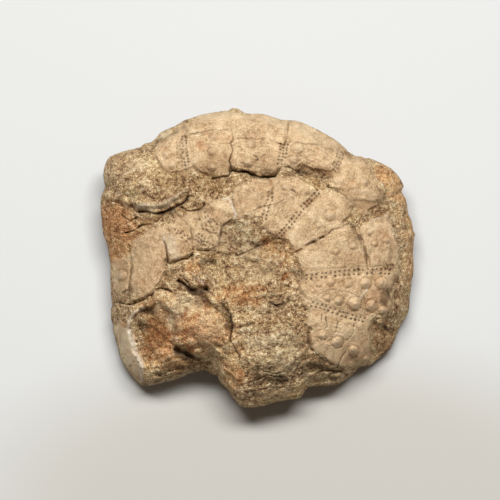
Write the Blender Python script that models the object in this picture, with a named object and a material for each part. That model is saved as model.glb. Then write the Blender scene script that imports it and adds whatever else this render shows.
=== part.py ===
# Fossil sea urchin: a crushed round test, seen from its upper side, cemented in a lump of sandy limestone.
# The whole piece is one rock. Its plates, tubercles, cracks, ledges and hollows all lie in one surface.
# Sizes are in millimetres. +Z is up, +Y is the far side and the origin is under the middle of the rock.

import math
import random

import bmesh
import bpy
import numpy as np
from mathutils import Vector
from mathutils.geometry import delaunay_2d_cdt

MILLIMETRE = 0.001
SEED = 23

# Height of the crown above the resting face, how it rounds off and the flat share of the underside
CROWN_HEIGHT = 24.0
CROWN_ROUNDING = 0.57
FLAT_SHARE = 0.44
UNDER_ROUNDING = 1.75
UNDER_SWELLS = [(9.0, 0.88), (4.5, 0.528)]
FAR_FULLNESS = 2.45
NEAR_FULLNESS = 2.9
NEAR_DIRECTION = math.radians(-85)

# The side of the rock is worn back unevenly above and below its widest level
SIDE_WEAR = 1.1
SIDE_WEAR_SIZE = 6.5
SIDE_WEAR_FADE = 5.0
SIDE_WEAR_START, SIDE_WEAR_SPAN = 0.68, 0.24

# Bays of the outline fade out towards the middle, and the relief fades out at the outline
CALM_TURN = math.radians(13)
CALM_START, CALM_SPAN = 0.55, 0.42
EDGE_FADE = 0.035

# Height of the widest level by direction, in degrees anticlockwise from +X
RIM_LEVELS = [
    (-180, 7.0), (-165, 5.8), (-150, 4.0), (-135, 2.8), (-120, 4.4), (-108, 8.4), (-95, 10.0),
    (-80, 9.2), (-65, 7.4), (-50, 3.6), (-35, 2.2), (-20, 3.2), (0, 5.6), (25, 8.6),
    (50, 11.0), (90, 12.4), (125, 11.6), (150, 9.8),
]
RIM_LEVEL_TURN = math.radians(12)

# The widest outline of the rock, clockwise from the far left corner
OUTLINE = [
    (-37.75, 24.5), (-37.0, 25.4), (-34.5, 26.4), (-32.75, 26.9), (-30.75, 27.3), (-29.5, 27.7),
    (-28.35, 28.6), (-26.75, 28.9), (-25.75, 29.7), (-24.5, 31.25), (-22.75, 32.2), (-20.75, 32.9),
    (-19.5, 33.8), (-18.15, 34.5), (-17.0, 34.8), (-14.5, 35.7), (-12.0, 36.2), (-9.5, 36.6),
    (-7.5, 36.8), (-6.5, 37.4), (-5.0, 37.3), (-4.25, 36.75), (-3.0, 36.1), (-1.5, 36.0),
    (1.0, 36.0), (2.5, 35.6), (4.25, 35.0), (5.75, 34.5), (8.0, 34.4), (9.75, 34.2),
    (11.25, 33.75), (13.0, 32.9), (14.5, 32.25), (16.75, 31.0), (18.75, 29.9), (20.5, 28.6),
    (21.75, 27.5), (22.5, 26.6), (23.5, 26.0), (24.5, 25.4), (25.75, 25.5), (26.5, 25.0),
    (28.0, 24.9), (30.0, 24.1), (31.75, 23.25), (33.25, 22.5), (34.5, 21.25), (35.5, 20.0),
    (36.25, 18.75), (36.5, 17.9), (36.0, 17.0), (35.9, 16.5), (36.5, 15.5), (37.0, 14.75),
    (37.4, 13.25), (37.5, 12.0), (37.75, 10.75), (38.4, 9.5), (38.75, 8.25), (38.9, 7.0),
    (39.4, 6.1), (39.1, 4.5), (39.0, 3.0), (38.9, 1.25), (39.0, -0.5), (39.1, -2.5),
    (39.0, -4.0), (38.6, -5.75), (38.4, -8.0), (38.1, -10.0), (38.1, -11.75), (37.9, -13.25),
    (37.25, -15.0), (36.25, -16.25), (35.5, -17.75), (34.9, -19.25), (34.25, -21.0), (33.25, -23.0),
    (32.25, -24.0), (30.75, -25.1), (29.5, -26.1), (28.25, -27.0), (26.75, -27.25), (25.5, -27.4),
    (24.5, -28.5), (23.25, -29.75), (21.75, -30.75), (20.0, -31.75), (18.0, -32.1), (15.0, -32.1),
    (12.5, -32.5), (11.5, -33.75), (10.75, -35.0), (9.5, -35.4), (7.5, -35.5), (5.5, -35.9),
    (3.5, -36.4), (1.0, -37.1), (-1.5, -37.4), (-3.75, -37.4), (-5.0, -36.75), (-5.75, -35.6),
    (-6.75, -34.4), (-7.25, -33.25), (-8.0, -32.5), (-9.25, -31.5), (-9.75, -30.5), (-10.1, -29.5),
    (-11.5, -29.25), (-12.75, -28.4), (-13.5, -28.1), (-15.0, -28.5), (-17.0, -29.0), (-19.5, -30.1),
    (-22.0, -30.9), (-24.5, -31.5), (-26.5, -32.0), (-28.25, -32.25), (-29.25, -32.1), (-30.25, -31.25),
    (-31.25, -30.1), (-32.75, -28.5), (-34.0, -26.5), (-34.75, -24.75), (-35.1, -23.0), (-35.6, -21.25),
    (-36.0, -19.75), (-36.5, -18.25), (-36.4, -17.0), (-36.9, -15.5), (-36.9, -13.0), (-36.5, -11.75),
    (-36.75, -10.5), (-36.9, -8.0), (-37.0, -5.5), (-37.0, -3.5), (-37.0, -1.5), (-37.25, 0.0),
    (-37.5, 2.0), (-37.75, 3.25), (-38.25, 4.5), (-38.75, 6.0), (-39.0, 7.5), (-39.1, 9.5),
    (-39.25, 10.5), (-39.4, 12.5), (-39.35, 15.1), (-38.85, 16.3), (-38.25, 17.9), (-38.75, 20.5),
    (-38.45, 22.9),
]

# Stretches of the test whose plates still join: rise, edge width, corners
SHELLS = {
    "far shell": (0.45, 0.8, [
        (-25.5, 26.5), (-25.0, 28.3), (-22.5, 30.0), (-20.0, 31.5), (-18.5, 34.3), (-14.5, 35.8),
        (-7.5, 37.2), (-4.0, 36.8), (1.0, 36.3), (6.5, 34.8), (12.0, 33.6), (17.0, 31.2),
        (20.5, 28.7), (21.6, 26.7), (20.8, 24.6), (19.0, 22.2), (17.8, 21.9), (15.3, 21.7),
        (11.5, 23.0), (7.0, 22.6), (4.8, 21.8), (-2.0, 21.1), (-6.5, 22.2), (-7.6, 20.5),
        (-10.4, 19.8), (-14.0, 21.2), (-16.2, 22.5), (-17.8, 22.0), (-20.5, 21.1),
        (-22.7, 21.3), (-24.6, 24.0)]),
    "right shell": (0.45, 0.8, [
        (-6.3, 17.0), (-4.6, 18.8), (-2.0, 19.5), (1.0, 19.4), (3.4, 19.2), (6.5, 20.4),
        (8.6, 20.7), (12.0, 18.8), (14.6, 17.8), (17.3, 17.3),
        (19.3, 16.9), (21.0, 15.4), (22.6, 13.8), (23.0, 12.0), (22.2, 10.0), (21.0, 8.7),
        (23.0, 8.0), (24.2, 6.5), (25.7, 3.5), (27.0, -0.5), (27.5, -2.2), (30.5, -2.1),
        (35.0, -1.9), (35.4, -3.2), (34.4, -6.8), (33.8, -10.5), (33.2, -13.5), (32.0, -15.3),
        (28.7, -15.2), (28.2, -18.0), (28.4, -20.5), (28.0, -25.5), (26.0, -26.8), (23.0, -27.7),
        (20.5, -27.1), (16.8, -24.9), (13.4, -22.6), (12.6, -20.5), (13.3, -18.0), (11.6, -16.2),
        (12.6, -13.4), (10.8, -11.0), (11.0, -9.3), (10.2, -7.5), (11.0, -4.0), (10.0, -1.0),
        (9.5, 1.3), (8.8, 2.2), (7.3, 4.5), (4.7, 4.8), (2.8, 6.3), (1.0, 8.2),
        (0.6, 10.0), (-2.0, 10.6), (-4.0, 10.1), (-5.7, 10.2), (-6.0, 12.5), (-6.6, 14.5)]),
    "shoulder shell": (0.35, 0.8, [
        (19.5, 27.7), (21.6, 26.9), (23.5, 25.4), (25.5, 25.0), (27.5, 23.6), (29.6, 21.2),
        (31.6, 18.2), (32.6, 15.2), (32.0, 13.8), (29.5, 13.0), (27.0, 12.0), (24.5, 12.6),
        (23.0, 13.8), (22.0, 14.8), (20.0, 16.5), (18.3, 17.6), (17.3, 18.5), (17.8, 21.6),
        (18.6, 24.0)]),
    "left shell": (0.35, 0.8, [
        (-31.9, 4.6), (-29.5, 5.5), (-27.0, 7.0), (-24.5, 7.5), (-21.0, 8.6), (-19.6, 10.0),
        (-17.6, 11.2), (-14.6, 11.5), (-13.2, 12.9), (-11.0, 14.3), (-8.5, 14.7), (-6.4, 14.4),
        (-5.6, 11.0), (-7.9, 8.6), (-9.3, 7.2), (-9.3, 4.4), (-9.9, 2.9), (-11.5, 2.2),
        (-14.5, 2.0), (-16.2, 1.2), (-17.4, 0.5), (-19.5, -0.3), (-21.6, -0.9), (-22.9, -1.2),
        (-23.2, -3.0), (-24.1, -5.5), (-25.6, -7.3), (-27.1, -8.9), (-28.3, -9.8), (-30.0, -10.3),
        (-31.8, -10.8), (-32.3, -9.2), (-32.3, -5.5), (-31.8, -1.8), (-32.1, 2.0)]),
}

# Plates of the test, each a name, how far it stands up and its corners
PLATE_EDGE = 0.55
PLATE_BULGE = 0.3
PLATE_BULGE_REACH = 3.0
PLATES = {
    "far rim": (0.2, [
        (-17.8, 34.2), (-14.5, 35.5), (-11.0, 36.1), (-7.25, 36.5), (-5.75, 36.5), (-3.0, 35.75),
        (1.0, 35.6), (4.25, 34.6), (7.2, 33.9), (7.4, 31.5), (6.6, 28.9), (4.0, 29.6),
        (1.9, 29.9), (-3.0, 29.9), (-5.7, 29.8), (-6.5, 30.8), (-7.2, 31.6), (-12.0, 31.9),
        (-16.0, 31.3), (-18.3, 30.7)]),
    "left column": (0.22, [
        (-18.2, 30.8), (-16.0, 31.4), (-12.0, 32.0), (-7.1, 31.7), (-6.4, 30.9), (-6.1, 30.0),
        (-7.15, 28.6), (-6.75, 27.2), (-6.75, 25.4), (-7.45, 24.0), (-6.95, 22.7), (-7.8, 20.9),
        (-10.3, 20.2), (-13.9, 21.5), (-16.2, 22.9), (-17.3, 24.2), (-17.9, 27.0)]),
    "inner right": (0.25, [
        (-5.8, 29.9), (-3.0, 30.0), (1.9, 30.0), (4.0, 29.7), (5.7, 28.9), (5.5, 26.6),
        (5.2, 23.25), (4.6, 21.6), (3.5, 20.9), (-0.5, 20.9), (-2.0, 21.3), (-4.0, 22.0),
        (-6.5, 22.5), (-7.0, 24.0), (-6.4, 25.3), (-6.4, 27.3), (-6.8, 28.5)]),
    "ambulacrum far": (0.2, [
        (8.0, 34.0), (11.25, 33.4), (14.5, 31.9), (18.0, 29.75), (19.5, 28.0), (18.3, 25.0),
        (17.6, 22.4), (15.5, 22.0), (11.5, 23.2), (7.5, 23.0), (7.0, 27.0), (7.25, 30.75)]),
    "shoulder": (0.3, [
        (21.25, 24.5), (23.0, 25.0), (26.0, 25.0), (28.5, 22.5), (30.5, 19.5), (32.0, 15.75),
        (31.25, 14.25), (28.5, 14.25), (25.0, 14.5), (23.2, 14.9), (22.1, 15.9), (20.8, 17.0),
        (19.1, 17.9), (18.7, 19.25), (19.2, 21.5), (20.5, 23.0)]),
    "left ambulacrum": (0.3, [
        (-25.0, 28.0), (-23.0, 29.25), (-20.9, 29.8), (-20.6, 27.0), (-20.0, 22.5), (-20.5, 21.25),
        (-22.5, 21.5), (-24.5, 24.0), (-25.5, 26.25)]),
    "middle left": (0.3, [
        (-4.5, 18.5), (-2.0, 19.2), (1.0, 19.1), (3.0, 18.7), (3.3, 17.0), (2.3, 14.5),
        (1.6, 13.0), (0.0, 12.0), (-2.0, 11.0), (-4.0, 10.5), (-5.5, 10.5), (-5.75, 12.5),
        (-6.25, 14.5), (-6.0, 17.0)]),
    "ambulacrum inner": (0.22, [
        (4.0, 17.0), (5.0, 19.0), (6.5, 20.2), (8.5, 20.4), (10.5, 19.5), (12.0, 18.4),
        (14.2, 17.6), (14.2, 16.5), (12.5, 14.9), (10.0, 12.6), (8.0, 9.9), (6.3, 7.4),
        (4.75, 5.5), (3.2, 6.5), (1.7, 8.0), (2.0, 10.5), (2.8, 12.75), (3.6, 14.75)]),
    "middle right": (0.28, [
        (15.8, 16.4), (17.25, 17.0), (19.25, 16.4), (21.0, 14.9), (22.2, 13.5), (22.8, 12.0),
        (22.0, 10.2), (20.8, 8.9), (20.0, 7.6), (18.1, 7.1), (16.0, 5.7), (13.0, 4.1),
        (10.7, 2.7), (9.4, 2.0), (7.8, 4.5), (7.4, 7.0), (9.8, 10.0), (12.8, 13.0)]),
    "right low": (0.28, [
        (9.75, 1.0), (13.0, 2.6), (16.0, 4.2), (18.5, 5.9), (20.5, 6.6), (22.9, 7.6),
        (23.9, 6.4), (24.9, 4.4), (25.7, 2.4), (26.4, 0.4), (26.8, -2.0), (23.0, -2.2),
        (18.0, -2.6), (13.0, -3.0), (11.25, -2.4), (10.0, -1.0)]),
    "right outer": (0.6, [
        (27.5, 9.0), (29.5, 10.25), (31.5, 10.5), (32.75, 11.25), (33.25, 9.5), (34.25, 7.5),
        (35.0, 5.0), (35.5, 2.5), (35.5, 0.0), (34.75, -1.75), (30.5, -2.0), (27.9, -2.0),
        (27.5, 0.25), (26.5, 3.25), (25.5, 6.0), (25.1, 7.75)]),
    "right ambulacrum": (0.2, [
        (11.5, -5.7), (15.5, -5.2), (21.75, -4.7), (28.0, -4.4), (33.3, -4.4), (34.25, -6.75),
        (33.75, -10.5), (33.0, -13.5), (31.75, -15.0), (28.5, -14.9), (24.75, -13.8), (21.75, -12.9),
        (18.0, -11.8), (15.0, -10.8), (13.0, -10.2), (11.25, -9.3), (10.5, -7.5)]),
    "right near": (0.28, [
        (12.9, -13.4), (15.5, -13.6), (19.25, -15.0), (23.0, -16.0), (26.75, -16.7), (28.0, -18.0),
        (28.25, -20.5), (28.0, -23.5), (27.75, -25.5), (26.0, -26.75), (23.0, -27.6), (20.5, -27.0),
        (18.0, -26.0), (16.75, -24.75), (15.0, -23.5), (13.5, -22.5), (12.75, -20.5), (13.5, -18.0),
        (11.9, -16.2)]),
    "left large": (0.5, [
        (-31.75, 4.5), (-29.5, 5.25), (-27.0, 6.75), (-24.5, 7.2), (-22.4, 6.7), (-22.4, 5.1),
        (-23.4, 4.5), (-23.1, 1.5), (-22.6, -1.0), (-23.0, -3.0), (-24.0, -5.5), (-25.5, -7.3), (-27.0, -8.9),
        (-28.2, -9.8), (-30.0, -10.3), (-31.75, -10.8), (-32.25, -9.25), (-32.25, -5.5),
        (-31.75, -1.75), (-32.0, 2.0)]),
    "left small": (0.4, [
        (-23.4, 6.3), (-20.75, 6.8), (-18.25, 6.4), (-16.7, 5.2), (-16.4, 3.0), (-16.4, 1.4),
        (-17.4, 0.7), (-19.5, -0.1), (-22.0, -0.9), (-22.4, 1.2), (-22.7, 4.0), (-23.4, 5.0)]),
    "porous": (0.45, [
        (-8.5, 14.5), (-6.5, 14.25), (-6.25, 12.5), (-5.6, 11.0), (-5.9, 9.7), (-7.9, 8.6),
        (-9.4, 7.25), (-9.4, 4.5), (-9.8, 3.0), (-11.5, 2.3), (-14.5, 2.7), (-15.3, 3.7),
        (-15.8, 5.0), (-15.8, 7.0), (-15.1, 9.5), (-14.4, 11.0), (-13.0, 12.8), (-11.0, 14.1)]),
    "left side": (0.4, [
        (-36.6, -0.6), (-34.8, 0.3), (-33.1, -0.4), (-32.5, -2.2), (-32.5, -5.5), (-32.9, -7.9),
        (-34.8, -8.7), (-36.6, -8.0), (-36.8, -4.5)]),
    "near left side": (0.7, [
        (-36.3, -17.4), (-34.4, -16.5), (-33.0, -17.0), (-32.2, -20.0), (-31.2, -24.0),
        (-29.5, -27.0), (-28.6, -29.5), (-29.5, -31.0), (-31.6, -29.2), (-33.6, -26.3),
        (-34.8, -23.0), (-35.7, -20.6)]),
}

# Masses of the rock that stand up or lie lower than their surroundings: rise, edge width, corners
MASSES = {
    "far left mass": (1.1, 1.3, [
        (-41.0, 26.0), (-27.0, 31.0), (-19.5, 22.5), (-17.0, 19.5), (-18.0, 16.5), (-20.0, 14.75),
        (-23.25, 13.0), (-25.75, 12.4), (-28.75, 12.6), (-32.0, 13.4), (-35.0, 14.5), (-41.0, 15.5)]),
    "far band": (1.5, 4.6, [
        (-18.5, 40.0), (-19.0, 24.0), (-17.0, 21.7), (-11.0, 21.6), (-7.0, 22.6), (-2.0, 22.2),
        (3.5, 22.1), (6.5, 23.4), (11.5, 24.0), (14.5, 22.8), (17.5, 21.5), (19.0, 19.5),
        (23.0, 17.0), (30.5, 15.4), (34.0, 18.0), (40.0, 40.0)]),
    "grey block": (-0.7, 1.0, [
        (-9.0, 8.2), (-6.0, 8.9), (-3.0, 8.9), (0.0, 8.6), (1.0, 7.0), (1.0, 2.0), (-9.0, 2.0)]),
    "middle hollow": (-0.8, 2.5, [
        (-13.0, 1.5), (-9.0, 1.5), (1.5, 2.0), (3.5, 5.0), (9.0, 0.5), (10.0, -6.0),
        (11.0, -10.0), (10.0, -14.5), (3.0, -15.5), (-6.0, -14.0), (-9.0, -11.0), (-13.0, -7.0)]),
    "near left recess": (-1.9, 1.6, [
        (-29.5, -13.0), (-24.5, -11.5), (-21.5, -13.5), (-20.5, -18.0), (-21.5, -21.75),
        (-23.25, -25.0), (-27.0, -27.5), (-29.0, -26.0), (-31.0, -23.0), (-31.75, -19.25),
        (-31.5, -15.5)]),
    "near right shelf": (-1.4, 1.4, [
        (11.75, -26.3), (15.0, -27.3), (19.25, -27.8), (23.0, -28.3), (26.0, -27.6), (30.0, -27.3),
        (31.0, -36.0), (11.0, -36.0), (11.6, -30.0)]),
    "right near mass": (-1.5, 1.2, [
        (28.5, -16.0), (33.5, -18.0), (38.0, -18.5), (36.0, -23.0), (33.0, -27.0), (28.6, -28.0),
        (28.4, -23.0), (28.7, -20.0)]),
    "shoulder band": (-0.5, 1.0, [
        (24.0, 14.2), (32.0, 14.0), (34.0, 11.5), (31.5, 10.8), (29.0, 10.4), (27.0, 9.2),
        (24.0, 8.8), (23.2, 11.5)]),
    "red side": (-0.5, 1.5, [
        (-40.0, 14.0), (-33.0, 12.5), (-30.5, 11.0), (-27.5, 9.0), (-27.5, 7.2), (-32.0, 4.5),
        (-32.3, 0.0), (-40.0, 0.0)]),
}

# Cracks and grooves: half width, depth, course
CRACKS = {
    "main groove": (0.5, 1.9, [
        (-4.25, 21.7), (-2.5, 21.2), (-1.5, 20.4), (-0.5, 20.1), (2.75, 19.9), (4.2, 20.1)]),
    "main groove left": (0.45, 0.9, [
        (-11.5, 19.4), (-9.0, 20.2), (-7.5, 20.3), (-6.6, 21.6), (-4.25, 21.6)]),
    "main groove right": (0.34, 0.7, [
        (4.2, 20.1), (4.9, 21.4), (6.0, 22.4), (7.8, 22.4), (9.5, 21.3), (11.5, 20.3)]),
    "far ledge foot": (0.9, 0.45, [(11.0, 21.5), (14.0, 20.5), (16.5, 19.8), (18.4, 20.3)]),
    "under shoulder": (0.45, 0.5, [
        (17.0, 17.8), (18.75, 17.4), (20.0, 16.75), (21.25, 15.75), (22.25, 14.6), (23.2, 13.7)]),
    "diagonal": (0.2, 0.28, [
        (8.8, 1.2), (10.8, 2.2), (13.8, 3.9), (16.6, 5.5), (18.6, 6.8), (20.2, 7.3), (21.4, 8.2),
        (23.4, 8.4)]),
    "diagonal gap a": (0.55, 1.6, [(9.4, 1.5), (10.8, 2.2)]),
    "diagonal gap b": (0.5, 1.4, [(12.2, 3.3), (13.8, 4.0)]),
    "diagonal gap c": (0.42, 1.2, [(15.3, 5.0), (16.3, 5.4)]),
    "diagonal gap d": (0.36, 1.0, [(17.6, 6.1), (18.7, 6.8)]),
    "right curve": (0.52, 0.5, [(23.2, 8.2), (24.5, 6.4), (25.6, 4.2), (26.4, 2.2)]),
    "right curve low": (0.38, 1.1, [(26.4, 2.2), (26.9, 0.2), (27.2, -2.4)]),
    "ledge": (0.5, 1.8, [
        (-29.7, 11.6), (-27.6, 11.2), (-25.2, 11.0), (-23.9, 11.1), (-22.7, 11.6), (-20.4, 12.5),
        (-18.2, 14.0), (-17.1, 15.3)]),
    "ledge right": (0.45, 1.4, [
        (-19.0, 12.4), (-18.1, 11.7), (-16.5, 11.6), (-14.9, 11.8), (-13.9, 12.3),
        (-13.4, 13.2)]),
    "far left a": (0.42, 1.0, [(-36.7, 14.2), (-35.2, 13.6), (-33.7, 12.9)]),
    "far left b": (0.38, 1.0, [(-31.1, 12.3), (-30.0, 11.3), (-28.8, 10.4)]),
    "red a": (0.38, 1.0, [(-34.4, 10.8), (-33.0, 9.6), (-32.0, 9.1), (-30.4, 10.1)]),
    "red b": (0.38, 1.0, [(-33.6, 6.3), (-32.3, 6.9), (-30.4, 7.5), (-28.8, 8.2), (-26.7, 8.3)]),
    "left plates": (0.26, 0.9, [(-23.2, 3.9), (-22.6, 1.5), (-22.4, -1.2)]),
    "under left small": (0.35, 1.0, [
        (-22.2, -1.4), (-20.5, -1.0), (-19.0, -0.5), (-17.0, 0.1), (-16.1, 0.9)]),
    "beside left small": (0.22, 0.4, [(-16.6, 7.5), (-16.4, 5.0), (-16.1, 3.0), (-16.1, 0.9)]),
    "long left": (0.38, 1.0, [
        (-36.0, -11.3), (-33.25, -11.5), (-31.25, -11.5), (-29.5, -10.9), (-27.75, -10.2),
        (-26.5, -9.1), (-25.5, -8.1), (-24.0, -7.4), (-22.6, -7.7), (-21.6, -8.3)]),
    "cavity": (0.6, 1.8, [(-20.0, -5.8), (-18.7, -6.5), (-17.6, -7.3), (-16.2, -7.9)]),
    "cavity right": (1.05, 2.8, [(-16.9, -7.9), (-15.4, -8.2), (-14.0, -8.2), (-12.8, -7.8)]),
    "cavity tail": (0.4, 0.6, [(-12.9, -7.8), (-11.6, -8.7), (-10.4, -10.2), (-9.4, -11.5)]),
    "cavity branch": (0.35, 0.9, [(-18.3, -5.4), (-17.4, -6.5), (-16.6, -7.5)]),
    "lump crack": (0.38, 1.2, [
        (-9.2, -11.4), (-8.1, -12.7), (-6.9, -13.7), (-6.4, -16.0), (-6.3, -18.4), (-6.9, -20.8)]),
    "near hollow": (1.1, 1.1, [(-20.8, -22.8), (-18.9, -24.0), (-17.1, -25.4)]),
    "near block a": (0.42, 0.7, [(-6.5, -20.5), (-5.5, -23.0), (-4.75, -24.75)]),
    "near block b": (0.4, 0.45, [(-5.7, -18.2), (-4.4, -17.3), (-2.8, -16.8), (-0.8, -16.2)]),
    "near block c": (0.35, 0.7, [(2.4, -21.6), (3.6, -22.0), (4.4, -22.6)]),
    "near block d": (0.3, 0.35, [(7.2, -15.9), (8.6, -17.2), (10.2, -18.1), (11.4, -19.6)]),
    "near right plate": (0.3, 0.6, [(22.9, -22.4), (22.1, -23.7), (21.0, -25.2), (20.0, -26.8)]),
    "under right": (0.3, 0.4, [
        (29.0, -15.9), (30.6, -16.8), (32.2, -17.9), (33.2, -18.6)]),
    "near overhang": (0.45, 0.8, [
        (15.6, -28.7), (17.8, -28.3), (20.2, -28.4), (22.0, -29.2), (22.9, -29.9)]),
    "grey block left": (0.35, 0.8, [(-8.9, 8.1), (-9.1, 6.5), (-9.1, 4.5), (-9.1, 3.2)]),
    "grey block top": (0.3, 0.5, [(-8.8, 8.2), (-7.2, 9.0), (-5.4, 9.3), (-3.6, 9.8), (-2.2, 9.4)]),
    "under porous": (0.35, 0.8, [(-15.0, 2.1), (-12.0, 1.8)]),
    "middle pit": (0.5, 1.0, [(2.8, -10.9), (4.4, -11.7), (5.9, -11.4), (8.0, -10.8)]),
    "grey block foot": (0.35, 0.7, [(-5.5, 0.6), (-3.9, 1.0), (-2.0, 1.9), (0.3, 2.8)]),
    "right near edge": (0.32, 0.6, [
        (12.4, -18.8), (12.3, -21.4), (13.4, -23.1), (15.2, -24.6), (17.0, -26.2)]),
    "right pocket": (0.9, 0.4, [(32.4, -8.0), (33.4, -10.6)]),
    "near right foot": (0.6, 0.6, [(18.5, -30.9), (21.6, -30.0)]),
}

# Pale ribs that stand along a course: half width, height, course
RIBS = {
    "ledge rib": (1.2, 0.8, [
        (-32.0, 13.75), (-28.75, 13.2), (-25.75, 12.9), (-23.25, 13.4), (-20.0, 15.1), (-18.0, 16.5)]),
    "far left lip": (0.9, 0.6, [(-27.5, 27.0), (-24.5, 29.3), (-22.0, 30.5), (-20.0, 31.0)]),
    "near left lip": (0.85, 0.9, [
        (-30.4, -13.4), (-31.8, -14.8), (-32.6, -16.3), (-32.9, -18.0), (-32.4, -20.0),
        (-31.9, -22.0), (-31.2, -24.4), (-30.1, -26.3), (-29.1, -28.1)]),
    "shoulder lip": (0.6, 0.4, [(28.2, 21.4), (29.9, 19.5), (31.7, 17.3), (33.0, 14.5)]),
    "near edge": (0.8, 0.6, [(-28.5, -30.9), (-24.5, -30.2), (-19.5, -28.8), (-15.0, -27.6)]),
}

# Rows of paired pores, each drawn as a shallow channel
PORE_CHANNEL = (0.5, 0.16)
PORE_ROWS = [
    [(-18.75, 30.75), (-18.4, 27.0), (-17.6, 22.5)],
    [(-20.1, 29.5), (-19.2, 22.5)],
    [(6.65, 29.2), (6.25, 26.5), (5.8, 23.2)],
    [(20.9, 26.9), (20.2, 24.4), (18.7, 22.0)],
    [(3.1, 16.5), (2.9, 14.25), (2.1, 12.5), (1.5, 9.75)],
    [(15.1, 16.6), (12.6, 14.0), (10.2, 11.6), (8.4, 9.0), (6.8, 7.2), (4.75, 5.0)],
    [(11.6, -4.8), (16.0, -4.3), (21.0, -3.75), (24.5, -3.5), (28.4, -3.25), (33.5, -3.4)],
    [(13.0, -11.4), (15.25, -11.9), (17.5, -12.6), (20.0, -13.6), (22.25, -14.3), (27.0, -15.7)],
]

# Tubercles: x, y, radius of the boss
BOSS_RISE = 0.62
BOSS_SHAPE = 0.7
AREOLE_WIDTH = 0.55
AREOLE_DEPTH = 0.16
TUBERCLES = [
    (-11.2, 30.4, 0.9), (-11.4, 26.4, 1.0), (-11.5, 22.4, 1.0), (-1.8, 28.4, 1.1),
    (-2.4, 23.6, 1.15), (-22.7, 25.8, 1.0), (-21.2, 23.2, 1.0), (-23.2, 28.5, 0.85),
    (9.9, 27.7, 1.4), (8.8, 24.5, 1.1), (27.0, 19.2, 0.9), (17.7, 10.5, 1.25),
    (14.75, 8.0, 0.65), (23.75, 3.0, 0.85), (19.25, 1.5, 0.75), (6.5, 17.5, 0.65),
    (12.0, 16.4, 0.75), (15.0, -6.5, 0.65), (18.0, -6.0, 0.85), (22.25, -6.3, 1.0),
    (26.7, -6.3, 1.3), (31.0, -6.3, 1.4), (17.25, -10.0, 0.75), (20.0, -10.6, 1.0),
    (24.0, -11.4, 1.6), (28.25, -12.0, 1.4), (31.3, -13.2, 1.1), (16.0, -19.1, 1.05),
    (19.8, -21.0, 1.35), (24.1, -23.4, 1.2), (27.6, -25.7, 0.85),
    (-0.6, 32.2, 0.8), (-34.6, -4.4, 1.3), (27.75, 6.25, 0.65), (29.2, 3.5, 0.65), (32.5, 4.5, 0.75),
]

# Rounded lumps and dents: x, y, half length, half width, turn in degrees, rise
LUMPS = [
    (-13.4, -17.8, 6.4, 5.8, 10, 2.5),
    (-17.2, -14.2, 2.6, 1.8, 30, 0.8),
    (-10.0, -15.0, 2.2, 1.8, -20, 0.7),
    (-15.5, -21.0, 2.8, 2.0, -30, 0.7),
    (-10.2, -20.0, 2.0, 2.4, 0, 0.6),
    (-15.5, -1.75, 1.5, 2.5, -15, 0.9),
    (-12.8, -10.8, 3.0, 1.4, -56, -1.0),
    (-18.7, -24.1, 5.0, 2.8, -36, -2.6),
    (-27.6, -13.6, 2.8, 1.4, 10, -1.0),
    (-29.2, -17.3, 2.4, 0.9, 15, -0.8),
    (-23.6, -19.0, 2.2, 2.6, -30, 0.8),
    (-24.0, -24.0, 2.8, 2.0, 20, 0.7),
    (20.0, -30.3, 1.9, 1.1, 20, 1.6),
    (14.0, -29.8, 1.7, 1.2, 0, 0.9),
    (-36.0, -18.6, 1.0, 1.2, 0, 0.6),
    (-26.8, -21.5, 1.8, 2.6, 10, 0.8),
    (-32.0, 20.0, 3.2, 2.4, 20, 0.6),
    (-25.0, 18.5, 3.4, 2.2, -20, 0.5),
    (-35.0, 8.0, 3.0, 2.0, 60, 0.5),
    (-2.0, -25.0, 5.0, 3.2, 15, 0.7),
    (6.0, -27.5, 3.6, 3.0, 0, 0.5),
    (3.5, -31.5, 4.0, 1.8, 0, -0.8),
    (-7.0, -28.0, 2.8, 3.4, 0, 0.6),
    (-6.0, -11.5, 3.0, 2.0, 0, 0.5),
    (0.0, -9.2, 1.4, 1.2, 0, 0.5),
    (36.2, 12.0, 1.5, 3.0, 0, 0.5),
    (33.5, 19.0, 2.4, 2.6, 30, 0.5),
]

# Roughness of the rock and of the plates
ROCK_SWELL = 4.2
ROCK_SWELL_RISE = 0.55
ROCK_GRAIN = 1.9
ROCK_GRAIN_RISE = 0.34
PLATE_SHARE = 0.22

# Spacing of the surface points
RING_WANDER = 0.3
RING_SHARES = [0.9925, 0.975, 0.948, 0.912, 0.868]
OPEN_SPACING = 1.7
COURSE_SPACING = 1.15
EDGE_SPACING = 1.35
UNDER_RINGS = [0.99, 0.955, 0.905, 0.83, 0.73, 0.61]
UNDER_SPACING = 4.0

# Least distance of a new surface point to those already set, by what it draws
BOSS_GAP = 0.33
CRACK_GAP = 0.45
PLATE_GAP = 0.46
MASS_GAP = 0.52
RIB_GAP = 0.6

ROCK_COLOUR = (0.47, 0.33, 0.19, 1.0)
ROCK_ROUGHNESS = 0.9


def clear_scene():
    for item in list(bpy.data.objects):
        bpy.data.objects.remove(item, do_unlink=True)


def smooth_step(value):
    share = np.clip(value, 0.0, 1.0)
    return share * share * (3.0 - 2.0 * share)


def lattice_value(column, row, layer, seed):
    wave = np.sin(column * 127.1 + row * 311.7 + layer * 74.7 + seed * 19.19) * 43758.5453
    return wave - np.floor(wave)


def rough(x, y, z, size, seed):
    """Soft random swell between -1 and 1 with the given size of lump."""
    place = [x / size, y / size, z / size]
    base = [np.floor(axis) for axis in place]
    share = [smooth_step(axis - low) for axis, low in zip(place, base)]
    total = np.zeros_like(x)
    for corner in range(8):
        step = [(corner >> bit) & 1 for bit in range(3)]
        weight = np.ones_like(x)
        for axis in range(3):
            weight = weight * (share[axis] if step[axis] else 1.0 - share[axis])
        total += weight * lattice_value(base[0] + step[0], base[1] + step[1], base[2] + step[2], seed)
    return total * 2.0 - 1.0


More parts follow.
